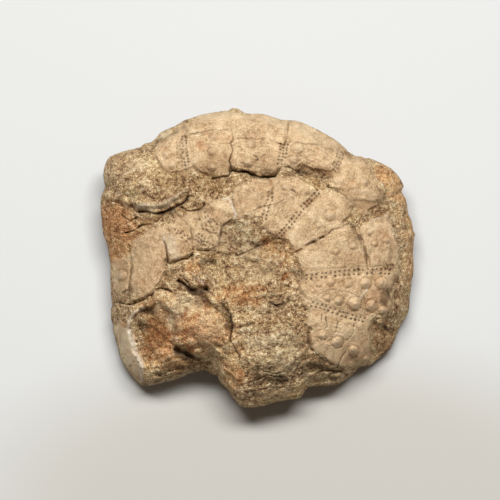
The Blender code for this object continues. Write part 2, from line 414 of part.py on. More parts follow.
def outline_polar():
    corners = np.array(OUTLINE)
    angle = np.arctan2(corners[:, 1], corners[:, 0])
    order = np.argsort(angle)
    return angle[order], np.hypot(corners[:, 0], corners[:, 1])[order]


OUTLINE_ANGLES, OUTLINE_RADII = outline_polar()


def outline_radius(angle):
    return np.interp(angle, OUTLINE_ANGLES, OUTLINE_RADII, period=2.0 * math.pi)


def outward_share(x, y):
    """0 at the middle of the rock and 1 on its outline."""
    return np.hypot(x, y) / outline_radius(np.arctan2(y, x))


def calm_radii():
    """The outline's reach in each direction with its small bays and corners evened out."""
    angles = np.linspace(-math.pi, math.pi, 361)
    turns = np.linspace(-CALM_TURN, CALM_TURN, 27)
    reach = [outline_radius(angles + turn) for turn in turns]
    return angles, np.mean(reach, axis=0)


CALM_ANGLES, CALM_RADII = calm_radii()


def shape_share(x, y):
    """Like the outward share, but calm towards the middle so that no bay runs inwards as a streak."""
    share = outward_share(x, y)
    calm = np.hypot(x, y) / np.interp(np.arctan2(y, x), CALM_ANGLES, CALM_RADII)
    return np.clip(calm + (share - calm) * smooth_step((share - CALM_START) / CALM_SPAN), 0.0, 1.0)


def rim_height(angle):
    """Height of the widest level, with its listed levels run smoothly into each other."""
    directions = np.radians([direction for direction, level in RIM_LEVELS])
    levels = [level for direction, level in RIM_LEVELS]
    turns = np.linspace(-RIM_LEVEL_TURN, RIM_LEVEL_TURN, 9)
    heights = [np.interp(angle + turn, directions, levels, period=2.0 * math.pi) for turn in turns]
    return np.mean(heights, axis=0)


def fullness(angle):
    nearness = np.clip(np.cos(angle - NEAR_DIRECTION), 0.0, 1.0)
    return FAR_FULLNESS + (NEAR_FULLNESS - FAR_FULLNESS) * nearness


def crown(x, y):
    angle = np.arctan2(y, x)
    rim = rim_height(angle)
    return rim + (CROWN_HEIGHT - rim) * (1.0 - shape_share(x, y) ** fullness(angle)) ** CROWN_ROUNDING


def course_distance(x, y, course):
    """Distance to a course of straight runs."""
    nearest = np.full_like(x, 1.0e6)
    for (x0, y0), (x1, y1) in zip(course, course[1:]):
        run_x, run_y = x1 - x0, y1 - y0
        along = ((x - x0) * run_x + (y - y0) * run_y) / (run_x * run_x + run_y * run_y)
        along = np.clip(along, 0.0, 1.0)
        nearest = np.minimum(nearest, np.hypot(x - x0 - along * run_x, y - y0 - along * run_y))
    return nearest


def inside_depth(x, y, corners):
    """Distance to the edge of an area, positive inside it."""
    ring = corners + corners[:1]
    inside = np.zeros(x.shape, dtype=bool)
    for (x0, y0), (x1, y1) in zip(ring, ring[1:]):
        if y0 == y1:
            continue
        crosses = (y0 > y) != (y1 > y)
        inside ^= crosses & (x < x0 + (y - y0) * (x1 - x0) / (y1 - y0))
    return np.where(inside, 1.0, -1.0) * course_distance(x, y, ring)


def plate_cover(x, y):
    """How far each point lies on a plate, and the rise of the plates there."""
    cover = np.zeros_like(x)
    rise = np.zeros_like(x)
    for lift, corners in PLATES.values():
        depth = inside_depth(x, y, corners)
        share = smooth_step(depth / PLATE_EDGE + 0.5)
        bulge = PLATE_BULGE * smooth_step(depth / PLATE_BULGE_REACH)
        cover = np.maximum(cover, share)
        rise = np.maximum(rise, share * lift + bulge)
    for lift, edge, corners in SHELLS.values():
        share = smooth_step(inside_depth(x, y, corners) / edge + 0.5)
        cover = np.maximum(cover, share)
        rise += lift * share
    return cover, rise


def mass_rise(x, y):
    total = np.zeros_like(x)
    for lift, edge, corners in MASSES.values():
        total += lift * smooth_step(inside_depth(x, y, corners) / edge + 0.5)
    return total


def course_rise(x, y):
    deepest = np.zeros_like(x)
    for half_width, depth, course in CRACKS.values():
        distance = course_distance(x, y, course)
        deepest = np.maximum(deepest, depth * (1.0 - smooth_step(distance / half_width)))
    channel_width, channel_depth = PORE_CHANNEL
    for course in PORE_ROWS:
        distance = course_distance(x, y, course)
        deepest = np.maximum(deepest, channel_depth * (1.0 - smooth_step(distance / channel_width)))
    total = -deepest
    for half_width, height, course in RIBS.values():
        distance = course_distance(x, y, course)
        total += height * (1.0 - smooth_step(distance / half_width))
    return total


def boss_rise(x, y):
    total = np.zeros_like(x)
    for boss_x, boss_y, radius in TUBERCLES:
        distance = np.hypot(x - boss_x, y - boss_y)
        inner = np.clip(1.0 - (distance / radius) ** 2, 0.0, 1.0)
        total += BOSS_RISE * radius * inner ** BOSS_SHAPE
        ring = np.abs(distance - radius - 0.5 * AREOLE_WIDTH) / (0.5 * AREOLE_WIDTH)
        total -= AREOLE_DEPTH * (1.0 - smooth_step(ring))
    return total


def lump_rise(x, y):
    total = np.zeros_like(x)
    for lump_x, lump_y, length, width, turn, rise in LUMPS:
        cosine, sine = math.cos(math.radians(turn)), math.sin(math.radians(turn))
        along = ((x - lump_x) * cosine + (y - lump_y) * sine) / length
        across = ((y - lump_y) * cosine - (x - lump_x) * sine) / width
        total += rise * smooth_step(1.0 - np.hypot(along, across))
    return total


def rock_roughness(x, y, z, cover):
    swell = ROCK_SWELL_RISE * rough(x, y, z, ROCK_SWELL, 3.0)
    grain = ROCK_GRAIN_RISE * rough(x, y, z, ROCK_GRAIN, 8.0)
    return (swell + grain) * (1.0 - (1.0 - PLATE_SHARE) * cover)


def upper_height(x, y):
    base = crown(x, y)
    cover, rise = plate_cover(x, y)
    relief = rise + mass_rise(x, y) + course_rise(x, y) + boss_rise(x, y) + lump_rise(x, y)
    relief += rock_roughness(x, y, base, cover)
    return base + relief * smooth_step((1.0 - outward_share(x, y)) / EDGE_FADE)


def lower_height(x, y):
    angle = np.arctan2(y, x)
    share = np.clip((shape_share(x, y) - FLAT_SHARE) / (1.0 - FLAT_SHARE), 0.0, 1.0)
    climb = 1.0 - (1.0 - share ** UNDER_ROUNDING) ** (1.0 / UNDER_ROUNDING)
    base = rim_height(angle) * climb
    (wide, wide_rise), (narrow, narrow_rise) = UNDER_SWELLS
    swell = wide_rise * rough(x, y, base, wide, 5.0) + narrow_rise * rough(x, y, base, narrow, 6.0)
    window = smooth_step(share / 0.35) * smooth_step((1.0 - share) / 0.12)
    return np.maximum(base + swell * window, 0.15 * smooth_step(share / 0.1))


def worn_places(points, z):
    """Moves the points of the side inwards by the wear there, and leaves the widest level as it is."""
    x, y = np.array(points).T
    angle = np.arctan2(y, x)
    wear = 0.5 + 0.5 * rough(x, y, z, SIDE_WEAR_SIZE, 12.0)
    wear = wear * smooth_step(np.abs(z - rim_height(angle)) / SIDE_WEAR_FADE)
    wear = wear * smooth_step((outward_share(x, y) - SIDE_WEAR_START) / SIDE_WEAR_SPAN) * SIDE_WEAR
    return x - np.cos(angle) * wear, y - np.sin(angle) * wear


def spaced_course(course, spacing, offset):
    """Points along a course at an even spacing, moved sideways by the offset."""
    points = []
    for (x0, y0), (x1, y1) in zip(course, course[1:]):
        length = math.hypot(x1 - x0, y1 - y0)
        steps = max(1, round(length / spacing))
        side_x, side_y = -(y1 - y0) / length * offset, (x1 - x0) / length * offset
        for step in range(steps + 1):
            share = step / steps
            points.append((x0 + (x1 - x0) * share + side_x, y0 + (y1 - y0) * share + side_y))
    return points


def boss_points():
    points = []
    for boss_x, boss_y, radius in TUBERCLES:
        points.append((boss_x, boss_y, 0.1))
        for count, reach in ((5, 0.55), (8, 1.0), (8, 1.0 + AREOLE_WIDTH / radius)):
            for step in range(count):
                angle = 2.0 * math.pi * (step + 0.3 * reach) / count
                x = boss_x + math.cos(angle) * radius * reach
                y = boss_y + math.sin(angle) * radius * reach
                points.append((x, y, BOSS_GAP))
    return points


def crack_points():
    points = []
    for half_width, depth, course in CRACKS.values():
        points += [(x, y, CRACK_GAP) for x, y in spaced_course(course, COURSE_SPACING, 0.0)]
    for half_width, depth, course in CRACKS.values():
        for side in (-half_width, half_width):
            points += [(x, y, CRACK_GAP) for x, y in spaced_course(course, COURSE_SPACING, side)]
    return points


def plate_points():
    points = []
    for lift, corners in PLATES.values():
        ring = corners + corners[:1]
        for side in (0.5 * PLATE_EDGE, -0.5 * PLATE_EDGE):
            points += [(x, y, PLATE_GAP) for x, y in spaced_course(ring, EDGE_SPACING, side)]
    return points


def mass_points():
    points = []
    for lift, edge, corners in list(MASSES.values()) + list(SHELLS.values()):
        ring = corners + corners[:1]
        for side in (0.5 * edge, -0.5 * edge):
            points += [(x, y, MASS_GAP) for x, y in spaced_course(ring, COURSE_SPACING, side)]
    for half_width, height, course in RIBS.values():
        for side in (0.0, -half_width, half_width):
            points += [(x, y, RIB_GAP) for x, y in spaced_course(course, COURSE_SPACING, side)]
    for course in PORE_ROWS:
        points += [(x, y, RIB_GAP) for x, y in spaced_course(course, COURSE_SPACING, 0.0)]
    return points


def ring_points(shares, gap):
    points = []
    for place, share in enumerate(shares):
        for step, angle in enumerate(OUTLINE_ANGLES):
            wander = RING_WANDER * max(0.0, 0.96 - share) * math.sin(step * 2.3 + place)
            radius = outline_radius(angle) * (share + wander)
            points.append((math.cos(angle) * radius, math.sin(angle) * radius, gap))
    return points


def open_points(spacing, limit, seed):
    """Scattered points over the open surface."""
    chance = random.Random(seed)
    points = []
    row_gap = spacing * math.sqrt(0.75)
    rows = int(40.0 / row_gap) + 1
    columns = int(40.0 / spacing) + 1
    for row in range(-rows, rows + 1):
        for column in range(-columns, columns + 1):
            x = (column + 0.5 * (row % 2) + chance.uniform(-0.2, 0.2)) * spacing
            y = (row + chance.uniform(-0.2, 0.2)) * row_gap
            points.append((x, y, 0.62 * spacing))
    shares = outward_share(np.array([p[0] for p in points]), np.array([p[1] for p in points]))
    return [point for point, share in zip(points, shares) if share < limit]


def keep_apart(points, limit):
    """Keeps each point that lies inside the rock and clear of those kept before it."""
    shares = outward_share(np.array([p[0] for p in points]), np.array([p[1] for p in points]))
    cell = 1.0
    kept = []
    cells = {}
    for (x, y, gap), share in zip(points, shares):
        if share > limit:
            continue
        column, row = math.floor(x / cell), math.floor(y / cell)
        reach = math.ceil(gap / cell)
        near = False
        for beside_x in range(column - reach, column + reach + 1):
            for beside_y in range(row - reach, row + reach + 1):
                for other_x, other_y in cells.get((beside_x, beside_y), ()):
                    if math.hypot(x - other_x, y - other_y) < gap:
                        near = True
        if not near:
            kept.append((x, y))
            cells.setdefault((column, row), []).append((x, y))
    return kept


def triangulate(inner):
    """Joins the outline and the inner points into triangles, outline first."""
    flat = [Vector(corner) for corner in OUTLINE] + [Vector(point) for point in inner]
    count = len(OUTLINE)
    edges = [(index, (index + 1) % count) for index in range(count)]
    points, _, faces, _, _, _ = delaunay_2d_cdt(flat, edges, [], 1, 1.0e-6)
    if len(points) != len(flat):
        raise RuntimeError("the surface points run together")
    return [tuple(face) for face in faces]


def upper_points():
    rim = ring_points(RING_SHARES[:2], 0.5)
    shapes = boss_points() + crack_points() + mass_points() + plate_points()
    rings = ring_points(RING_SHARES[2:], 0.95)
    rings += open_points(OPEN_SPACING, 0.86, SEED)
    return keep_apart(rim + shapes + rings, 0.9935)


def lower_points():
    rings = ring_points(UNDER_RINGS[:2], 0.7) + ring_points(UNDER_RINGS[2:], 2.3)
    rings += ring_points([FLAT_SHARE], 2.6)
    return keep_apart(rings + open_points(UNDER_SPACING, 0.58, SEED + 1), 0.99)


def surface_corners(shape, points, height):
    """Corners of the surface above or below the given plan points."""
    z = height(*np.array(points).T)
    x, y = worn_places(points, z)
    return [shape.verts.new(place) for place in zip(x, y, z)]


def build_rock():
    upper = upper_points()
    lower = lower_points()
    shape = bmesh.new()
    rim_z = rim_height(np.arctan2(*np.array(OUTLINE).T[::-1]))
    rim = [shape.verts.new((x, y, z)) for (x, y), z in zip(OUTLINE, rim_z)]
    top = surface_corners(shape, upper, upper_height)
    under = surface_corners(shape, lower, lower_height)
    for face in triangulate(upper):
        shape.faces.new([(rim + top)[index] for index in face])
    for face in triangulate(lower):
        shape.faces.new([(rim + under)[index] for index in reversed(face)])
    bmesh.ops.recalc_face_normals(shape, faces=shape.faces)
    return shape


def settle(shape):
    """Puts the origin under the middle of the rock, on its resting face."""
    places = np.array([vertex.co for vertex in shape.verts])
    middle = (places.max(axis=0) + places.min(axis=0)) / 2.0
    offset = Vector((middle[0], middle[1], places[:, 2].min()))
    for vertex in shape.verts:
        vertex.co = (vertex.co - offset) * MILLIMETRE


def rock_material():
    material = bpy.data.materials.new("fossil_limestone")
    material.use_nodes = True
    shader = material.node_tree.nodes["Principled BSDF"]
    shader.inputs["Base Color"].default_value = ROCK_COLOUR
    shader.inputs["Roughness"].default_value = ROCK_ROUGHNESS
    return material


def main():
    clear_scene()
    shape = build_rock()
    settle(shape)
    mesh = bpy.data.meshes.new("fossil_urchin")
    shape.to_mesh(mesh)
    print("points", len(shape.verts), "triangles", len(shape.faces))
    shape.free()
    mesh.materials.append(rock_material())
    rock = bpy.data.objects.new("fossil_urchin", mesh)
    bpy.context.scene.collection.objects.link(rock)


main()
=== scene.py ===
# Fossil sea urchin: a crushed round test cemented in a lump of sandy limestone.
# It lies plates up on a pale floor. Lengths in the lists are millimetres, seen from above.

import math
import random

import bpy
import numpy as np
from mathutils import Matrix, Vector
from mathutils.geometry import delaunay_2d_cdt


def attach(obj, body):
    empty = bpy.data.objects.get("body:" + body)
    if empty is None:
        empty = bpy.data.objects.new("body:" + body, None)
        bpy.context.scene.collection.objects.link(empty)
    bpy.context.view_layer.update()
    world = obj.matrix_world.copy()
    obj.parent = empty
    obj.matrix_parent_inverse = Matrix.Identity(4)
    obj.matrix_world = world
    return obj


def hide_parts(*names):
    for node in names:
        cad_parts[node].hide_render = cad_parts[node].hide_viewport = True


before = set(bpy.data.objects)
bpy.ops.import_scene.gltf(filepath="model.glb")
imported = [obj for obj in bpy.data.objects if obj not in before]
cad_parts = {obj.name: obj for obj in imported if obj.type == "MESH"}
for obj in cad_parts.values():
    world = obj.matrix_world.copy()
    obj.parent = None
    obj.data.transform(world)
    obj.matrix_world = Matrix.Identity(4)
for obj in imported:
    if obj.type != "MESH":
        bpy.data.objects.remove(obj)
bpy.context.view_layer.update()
millimetre = 0.001
print("frame loaded")

# The widest outline, clockwise from the far left corner
outline = [
    (-37.75, 24.5), (-37.0, 25.4), (-34.5, 26.4), (-32.75, 26.9), (-30.75, 27.3), (-29.5, 27.7),
    (-28.35, 28.6), (-26.75, 28.9), (-25.75, 29.7), (-24.5, 31.25), (-22.75, 32.2), (-20.75, 32.9),
    (-19.5, 33.8), (-18.15, 34.5), (-17.0, 34.8), (-14.5, 35.7), (-12.0, 36.2), (-9.5, 36.6), (-7.5, 36.8),
    (-6.5, 37.4), (-5.0, 37.3), (-4.25, 36.75), (-3.0, 36.1), (-1.5, 36.0), (1.0, 36.0), (2.5, 35.6),
    (4.25, 35.0), (5.75, 34.5), (8.0, 34.4), (9.75, 34.2), (11.25, 33.75), (13.0, 32.9), (14.5, 32.25),
    (16.75, 31.0), (18.75, 29.9), (20.5, 28.6), (21.75, 27.5), (22.5, 26.6), (23.5, 26.0), (24.5, 25.4),
    (25.75, 25.5), (26.5, 25.0), (28.0, 24.9), (30.0, 24.1), (31.75, 23.25), (33.25, 22.5), (34.5, 21.25),
    (35.5, 20.0), (36.25, 18.75), (36.5, 17.9), (36.0, 17.0), (35.9, 16.5), (36.5, 15.5), (37.0, 14.75),
    (37.4, 13.25), (37.5, 12.0), (37.75, 10.75), (38.4, 9.5), (38.75, 8.25), (38.9, 7.0), (39.4, 6.1),
    (39.1, 4.5), (39.0, 3.0), (38.9, 1.25), (39.0, -0.5), (39.1, -2.5), (39.0, -4.0), (38.6, -5.75),
    (38.4, -8.0), (38.1, -10.0), (38.1, -11.75), (37.9, -13.25), (37.25, -15.0), (36.25, -16.25),
    (35.5, -17.75), (34.9, -19.25), (34.25, -21.0), (33.25, -23.0), (32.25, -24.0), (30.75, -25.1),
    (29.5, -26.1), (28.25, -27.0), (26.75, -27.25), (25.5, -27.4), (24.5, -28.5), (23.25, -29.75),
    (21.75, -30.75), (20.0, -31.75), (18.0, -32.1), (15.0, -32.1), (12.5, -32.5), (11.5, -33.75),
    (10.75, -35.0), (9.5, -35.4), (7.5, -35.5), (5.5, -35.9), (3.5, -36.4), (1.0, -37.1), (-1.5, -37.4),
    (-3.75, -37.4), (-5.0, -36.75), (-5.75, -35.6), (-6.75, -34.4), (-7.25, -33.25), (-8.0, -32.5),
    (-9.25, -31.5), (-9.75, -30.5), (-10.1, -29.5), (-11.5, -29.25), (-12.75, -28.4), (-13.5, -28.1),
    (-15.0, -28.5), (-17.0, -29.0), (-19.5, -30.1), (-22.0, -30.9), (-24.5, -31.5), (-26.5, -32.0),
    (-28.25, -32.25), (-29.25, -32.1), (-30.25, -31.25), (-31.25, -30.1), (-32.75, -28.5), (-34.0, -26.5),
    (-34.75, -24.75), (-35.1, -23.0), (-35.6, -21.25), (-36.0, -19.75), (-36.5, -18.25), (-36.4, -17.0),
    (-36.9, -15.5), (-36.9, -13.0), (-36.5, -11.75), (-36.75, -10.5), (-36.9, -8.0), (-37.0, -5.5),
    (-37.0, -3.5), (-37.0, -1.5), (-37.25, 0.0), (-37.5, 2.0), (-37.75, 3.25), (-38.25, 4.5), (-38.75, 6.0),
    (-39.0, 7.5), (-39.1, 9.5), (-39.25, 10.5), (-39.4, 12.5), (-39.35, 15.1), (-38.85, 16.3),
    (-38.25, 17.9), (-38.75, 20.5), (-38.45, 22.9),
]

# Stretches of the test whose plates still join: rise, edge width, corners
shells = {
    "far shell": (0.45, 0.8, [
        (-25.5, 26.5), (-25.0, 28.3), (-22.5, 30.0), (-20.0, 31.5), (-18.5, 34.3), (-14.5, 35.8),
        (-7.5, 37.2), (-4.0, 36.8), (1.0, 36.3), (6.5, 34.8), (12.0, 33.6), (17.0, 31.2), (20.5, 28.7),
        (21.6, 26.7), (20.8, 24.6), (19.0, 22.2), (17.8, 21.9), (15.3, 21.7), (11.5, 23.0), (7.0, 22.6),
        (4.8, 21.8), (-2.0, 21.1), (-6.5, 22.2), (-7.6, 20.5), (-10.4, 19.8), (-14.0, 21.2), (-16.2, 22.5),
        (-17.8, 22.0), (-20.5, 21.1), (-22.7, 21.3), (-24.6, 24.0)]),
    "right shell": (0.45, 0.8, [
        (-6.3, 17.0), (-4.6, 18.8), (-2.0, 19.5), (1.0, 19.4), (3.4, 19.2), (6.5, 20.4), (8.6, 20.7),
        (12.0, 18.8), (14.6, 17.8), (17.3, 17.3), (19.3, 16.9), (21.0, 15.4), (22.6, 13.8), (23.0, 12.0),
        (22.2, 10.0), (21.0, 8.7), (23.0, 8.0), (24.2, 6.5), (25.7, 3.5), (27.0, -0.5), (27.5, -2.2),
        (30.5, -2.1), (35.0, -1.9), (35.4, -3.2), (34.4, -6.8), (33.8, -10.5), (33.2, -13.5), (32.0, -15.3),
        (28.7, -15.2), (28.2, -18.0), (28.4, -20.5), (28.0, -25.5), (26.0, -26.8), (23.0, -27.7),
        (20.5, -27.1), (16.8, -24.9), (13.4, -22.6), (12.6, -20.5), (13.3, -18.0), (11.6, -16.2),
        (12.6, -13.4), (10.8, -11.0), (11.0, -9.3), (10.2, -7.5), (11.0, -4.0), (10.0, -1.0), (9.5, 1.3),
        (8.8, 2.2), (7.3, 4.5), (4.7, 4.8), (2.8, 6.3), (1.0, 8.2), (0.6, 10.0), (-2.0, 10.6), (-4.0, 10.1),
        (-5.7, 10.2), (-6.0, 12.5), (-6.6, 14.5)]),
    "shoulder shell": (0.35, 0.8, [
        (19.5, 27.7), (21.6, 26.9), (23.5, 25.4), (25.5, 25.0), (27.5, 23.6), (29.6, 21.2), (31.6, 18.2),
        (32.6, 15.2), (32.0, 13.8), (29.5, 13.0), (27.0, 12.0), (24.5, 12.6), (23.0, 13.8), (22.0, 14.8),
        (20.0, 16.5), (18.3, 17.6), (17.3, 18.5), (17.8, 21.6), (18.6, 24.0)]),
    "left shell": (0.35, 0.8, [
        (-31.9, 4.6), (-29.5, 5.5), (-27.0, 7.0), (-24.5, 7.5), (-21.0, 8.6), (-19.6, 10.0), (-17.6, 11.2),
        (-14.6, 11.5), (-13.2, 12.9), (-11.0, 14.3), (-8.5, 14.7), (-6.4, 14.4), (-5.6, 11.0), (-7.9, 8.6),
        (-9.3, 7.2), (-9.3, 4.4), (-9.9, 2.9), (-11.5, 2.2), (-14.5, 2.0), (-16.2, 1.2), (-17.4, 0.5),
        (-19.5, -0.3), (-21.6, -0.9), (-22.9, -1.2), (-23.2, -3.0), (-24.1, -5.5), (-25.6, -7.3),
        (-27.1, -8.9), (-28.3, -9.8), (-30.0, -10.3), (-31.8, -10.8), (-32.3, -9.2), (-32.3, -5.5),
        (-31.8, -1.8), (-32.1, 2.0)]),
}

# Plates of the test: how far each stands up, and its corners
plates = {
    "far rim": (0.2, [
        (-17.8, 34.2), (-14.5, 35.5), (-11.0, 36.1), (-7.25, 36.5), (-5.75, 36.5), (-3.0, 35.75),
        (1.0, 35.6), (4.25, 34.6), (7.2, 33.9), (7.4, 31.5), (6.6, 28.9), (4.0, 29.6), (1.9, 29.9),
        (-3.0, 29.9), (-5.7, 29.8), (-6.5, 30.8), (-7.2, 31.6), (-12.0, 31.9), (-16.0, 31.3),
        (-18.3, 30.7)]),
    "left column": (0.22, [
        (-18.2, 30.8), (-16.0, 31.4), (-12.0, 32.0), (-7.1, 31.7), (-6.4, 30.9), (-6.1, 30.0),
        (-7.15, 28.6), (-6.75, 27.2), (-6.75, 25.4), (-7.45, 24.0), (-6.95, 22.7), (-7.8, 20.9),
        (-10.3, 20.2), (-13.9, 21.5), (-16.2, 22.9), (-17.3, 24.2), (-17.9, 27.0)]),
    "inner right": (0.25, [
        (-5.8, 29.9), (-3.0, 30.0), (1.9, 30.0), (4.0, 29.7), (5.7, 28.9), (5.5, 26.6), (5.2, 23.25),
        (4.6, 21.6), (3.5, 20.9), (-0.5, 20.9), (-2.0, 21.3), (-4.0, 22.0), (-6.5, 22.5), (-7.0, 24.0),
        (-6.4, 25.3), (-6.4, 27.3), (-6.8, 28.5)]),
    "ambulacrum far": (0.2, [
        (8.0, 34.0), (11.25, 33.4), (14.5, 31.9), (18.0, 29.75), (19.5, 28.0), (18.3, 25.0), (17.6, 22.4),
        (15.5, 22.0), (11.5, 23.2), (7.5, 23.0), (7.0, 27.0), (7.25, 30.75)]),
    "shoulder": (0.3, [
        (21.25, 24.5), (23.0, 25.0), (26.0, 25.0), (28.5, 22.5), (30.5, 19.5), (32.0, 15.75),
        (31.25, 14.25), (28.5, 14.25), (25.0, 14.5), (23.2, 14.9), (22.1, 15.9), (20.8, 17.0), (19.1, 17.9),
        (18.7, 19.25), (19.2, 21.5), (20.5, 23.0)]),
    "left ambulacrum": (0.3, [
        (-25.0, 28.0), (-23.0, 29.25), (-20.9, 29.8), (-20.6, 27.0), (-20.0, 22.5), (-20.5, 21.25),
        (-22.5, 21.5), (-24.5, 24.0), (-25.5, 26.25)]),
    "middle left": (0.3, [
        (-4.5, 18.5), (-2.0, 19.2), (1.0, 19.1), (3.0, 18.7), (3.3, 17.0), (2.3, 14.5), (1.6, 13.0),
        (0.0, 12.0), (-2.0, 11.0), (-4.0, 10.5), (-5.5, 10.5), (-5.75, 12.5), (-6.25, 14.5), (-6.0, 17.0)]),
    "ambulacrum inner": (0.22, [
        (4.0, 17.0), (5.0, 19.0), (6.5, 20.2), (8.5, 20.4), (10.5, 19.5), (12.0, 18.4), (14.2, 17.6),
        (14.2, 16.5), (12.5, 14.9), (10.0, 12.6), (8.0, 9.9), (6.3, 7.4), (4.75, 5.5), (3.2, 6.5),
        (1.7, 8.0), (2.0, 10.5), (2.8, 12.75), (3.6, 14.75)]),
    "middle right": (0.28, [
        (15.8, 16.4), (17.25, 17.0), (19.25, 16.4), (21.0, 14.9), (22.2, 13.5), (22.8, 12.0), (22.0, 10.2),
        (20.8, 8.9), (20.0, 7.6), (18.1, 7.1), (16.0, 5.7), (13.0, 4.1), (10.7, 2.7), (9.4, 2.0),
        (7.8, 4.5), (7.4, 7.0), (9.8, 10.0), (12.8, 13.0)]),
    "right low": (0.28, [
        (9.75, 1.0), (13.0, 2.6), (16.0, 4.2), (18.5, 5.9), (20.5, 6.6), (22.9, 7.6), (23.9, 6.4),
        (24.9, 4.4), (25.7, 2.4), (26.4, 0.4), (26.8, -2.0), (23.0, -2.2), (18.0, -2.6), (13.0, -3.0),
        (11.25, -2.4), (10.0, -1.0)]),
    "right outer": (0.6, [
        (27.5, 9.0), (29.5, 10.25), (31.5, 10.5), (32.75, 11.25), (33.25, 9.5), (34.25, 7.5), (35.0, 5.0),
        (35.5, 2.5), (35.5, 0.0), (34.75, -1.75), (30.5, -2.0), (27.9, -2.0), (27.5, 0.25), (26.5, 3.25),
        (25.5, 6.0), (25.1, 7.75)]),
    "right ambulacrum": (0.2, [
        (11.5, -5.7), (15.5, -5.2), (21.75, -4.7), (28.0, -4.4), (33.3, -4.4), (34.25, -6.75),
        (33.75, -10.5), (33.0, -13.5), (31.75, -15.0), (28.5, -14.9), (24.75, -13.8), (21.75, -12.9),
        (18.0, -11.8), (15.0, -10.8), (13.0, -10.2), (11.25, -9.3), (10.5, -7.5)]),
    "right near": (0.28, [
        (12.9, -13.4), (15.5, -13.6), (19.25, -15.0), (23.0, -16.0), (26.75, -16.7), (28.0, -18.0),
        (28.25, -20.5), (28.0, -23.5), (27.75, -25.5), (26.0, -26.75), (23.0, -27.6), (20.5, -27.0),
        (18.0, -26.0), (16.75, -24.75), (15.0, -23.5), (13.5, -22.5), (12.75, -20.5), (13.5, -18.0),
        (11.9, -16.2)]),
    "left large": (0.5, [
        (-31.75, 4.5), (-29.5, 5.25), (-27.0, 6.75), (-24.5, 7.2), (-22.4, 6.7), (-22.4, 5.1), (-23.4, 4.5),
        (-23.1, 1.5), (-22.6, -1.0), (-23.0, -3.0), (-24.0, -5.5), (-25.5, -7.3), (-27.0, -8.9),
        (-28.2, -9.8), (-30.0, -10.3), (-31.75, -10.8), (-32.25, -9.25), (-32.25, -5.5), (-31.75, -1.75),
        (-32.0, 2.0)]),
    "left small": (0.4, [
        (-23.4, 6.3), (-20.75, 6.8), (-18.25, 6.4), (-16.7, 5.2), (-16.4, 3.0), (-16.4, 1.4), (-17.4, 0.7),
        (-19.5, -0.1), (-22.0, -0.9), (-22.4, 1.2), (-22.7, 4.0), (-23.4, 5.0)]),
    "porous": (0.45, [
        (-8.5, 14.5), (-6.5, 14.25), (-6.25, 12.5), (-5.6, 11.0), (-5.9, 9.7), (-7.9, 8.6), (-9.4, 7.25),
        (-9.4, 4.5), (-9.8, 3.0), (-11.5, 2.3), (-14.5, 2.7), (-15.3, 3.7), (-15.8, 5.0), (-15.8, 7.0),
        (-15.1, 9.5), (-14.4, 11.0), (-13.0, 12.8), (-11.0, 14.1)]),
    "left side": (0.4, [
        (-36.6, -0.6), (-34.8, 0.3), (-33.1, -0.4), (-32.5, -2.2), (-32.5, -5.5), (-32.9, -7.9),
        (-34.8, -8.7), (-36.6, -8.0), (-36.8, -4.5)]),
    "near left side": (0.7, [
        (-36.3, -17.4), (-34.4, -16.5), (-33.0, -17.0), (-32.2, -20.0), (-31.2, -24.0), (-29.5, -27.0),
        (-28.6, -29.5), (-29.5, -31.0), (-31.6, -29.2), (-33.6, -26.3), (-34.8, -23.0), (-35.7, -20.6)]),
}

# Parts of the rock that stand up or lie lower: rise, edge width, corners
masses = {
    "far left mass": (1.1, 1.3, [
        (-41.0, 26.0), (-27.0, 31.0), (-19.5, 22.5), (-17.0, 19.5), (-18.0, 16.5), (-20.0, 14.75),
        (-23.25, 13.0), (-25.75, 12.4), (-28.75, 12.6), (-32.0, 13.4), (-35.0, 14.5), (-41.0, 15.5)]),
    "far band": (1.5, 4.6, [
        (-18.5, 40.0), (-19.0, 24.0), (-17.0, 21.7), (-11.0, 21.6), (-7.0, 22.6), (-2.0, 22.2), (3.5, 22.1),
        (6.5, 23.4), (11.5, 24.0), (14.5, 22.8), (17.5, 21.5), (19.0, 19.5), (23.0, 17.0), (30.5, 15.4),
        (34.0, 18.0), (40.0, 40.0)]),
    "grey block": (-0.7, 1.0, [
        (-9.0, 8.2), (-6.0, 8.9), (-3.0, 8.9), (0.0, 8.6), (1.0, 7.0), (1.0, 2.0), (-9.0, 2.0)]),
    "middle hollow": (-0.8, 2.5, [
        (-13.0, 1.5), (-9.0, 1.5), (1.5, 2.0), (3.5, 5.0), (9.0, 0.5), (10.0, -6.0), (11.0, -10.0),
        (10.0, -14.5), (3.0, -15.5), (-6.0, -14.0), (-9.0, -11.0), (-13.0, -7.0)]),
    "near left recess": (-1.9, 1.6, [
        (-29.5, -13.0), (-24.5, -11.5), (-21.5, -13.5), (-20.5, -18.0), (-21.5, -21.75), (-23.25, -25.0),
        (-27.0, -27.5), (-29.0, -26.0), (-31.0, -23.0), (-31.75, -19.25), (-31.5, -15.5)]),
    "near right shelf": (-1.4, 1.4, [
        (11.75, -26.3), (15.0, -27.3), (19.25, -27.8), (23.0, -28.3), (26.0, -27.6), (30.0, -27.3),
        (31.0, -36.0), (11.0, -36.0), (11.6, -30.0)]),
    "right near mass": (-1.5, 1.2, [
        (28.5, -16.0), (33.5, -18.0), (38.0, -18.5), (36.0, -23.0), (33.0, -27.0), (28.6, -28.0),
        (28.4, -23.0), (28.7, -20.0)]),
    "shoulder band": (-0.5, 1.0, [
        (24.0, 14.2), (32.0, 14.0), (34.0, 11.5), (31.5, 10.8), (29.0, 10.4), (27.0, 9.2), (24.0, 8.8),
        (23.2, 11.5)]),
    "red side": (-0.5, 1.5, [
        (-40.0, 14.0), (-33.0, 12.5), (-30.5, 11.0), (-27.5, 9.0), (-27.5, 7.2), (-32.0, 4.5), (-32.3, 0.0),
        (-40.0, 0.0)]),
}

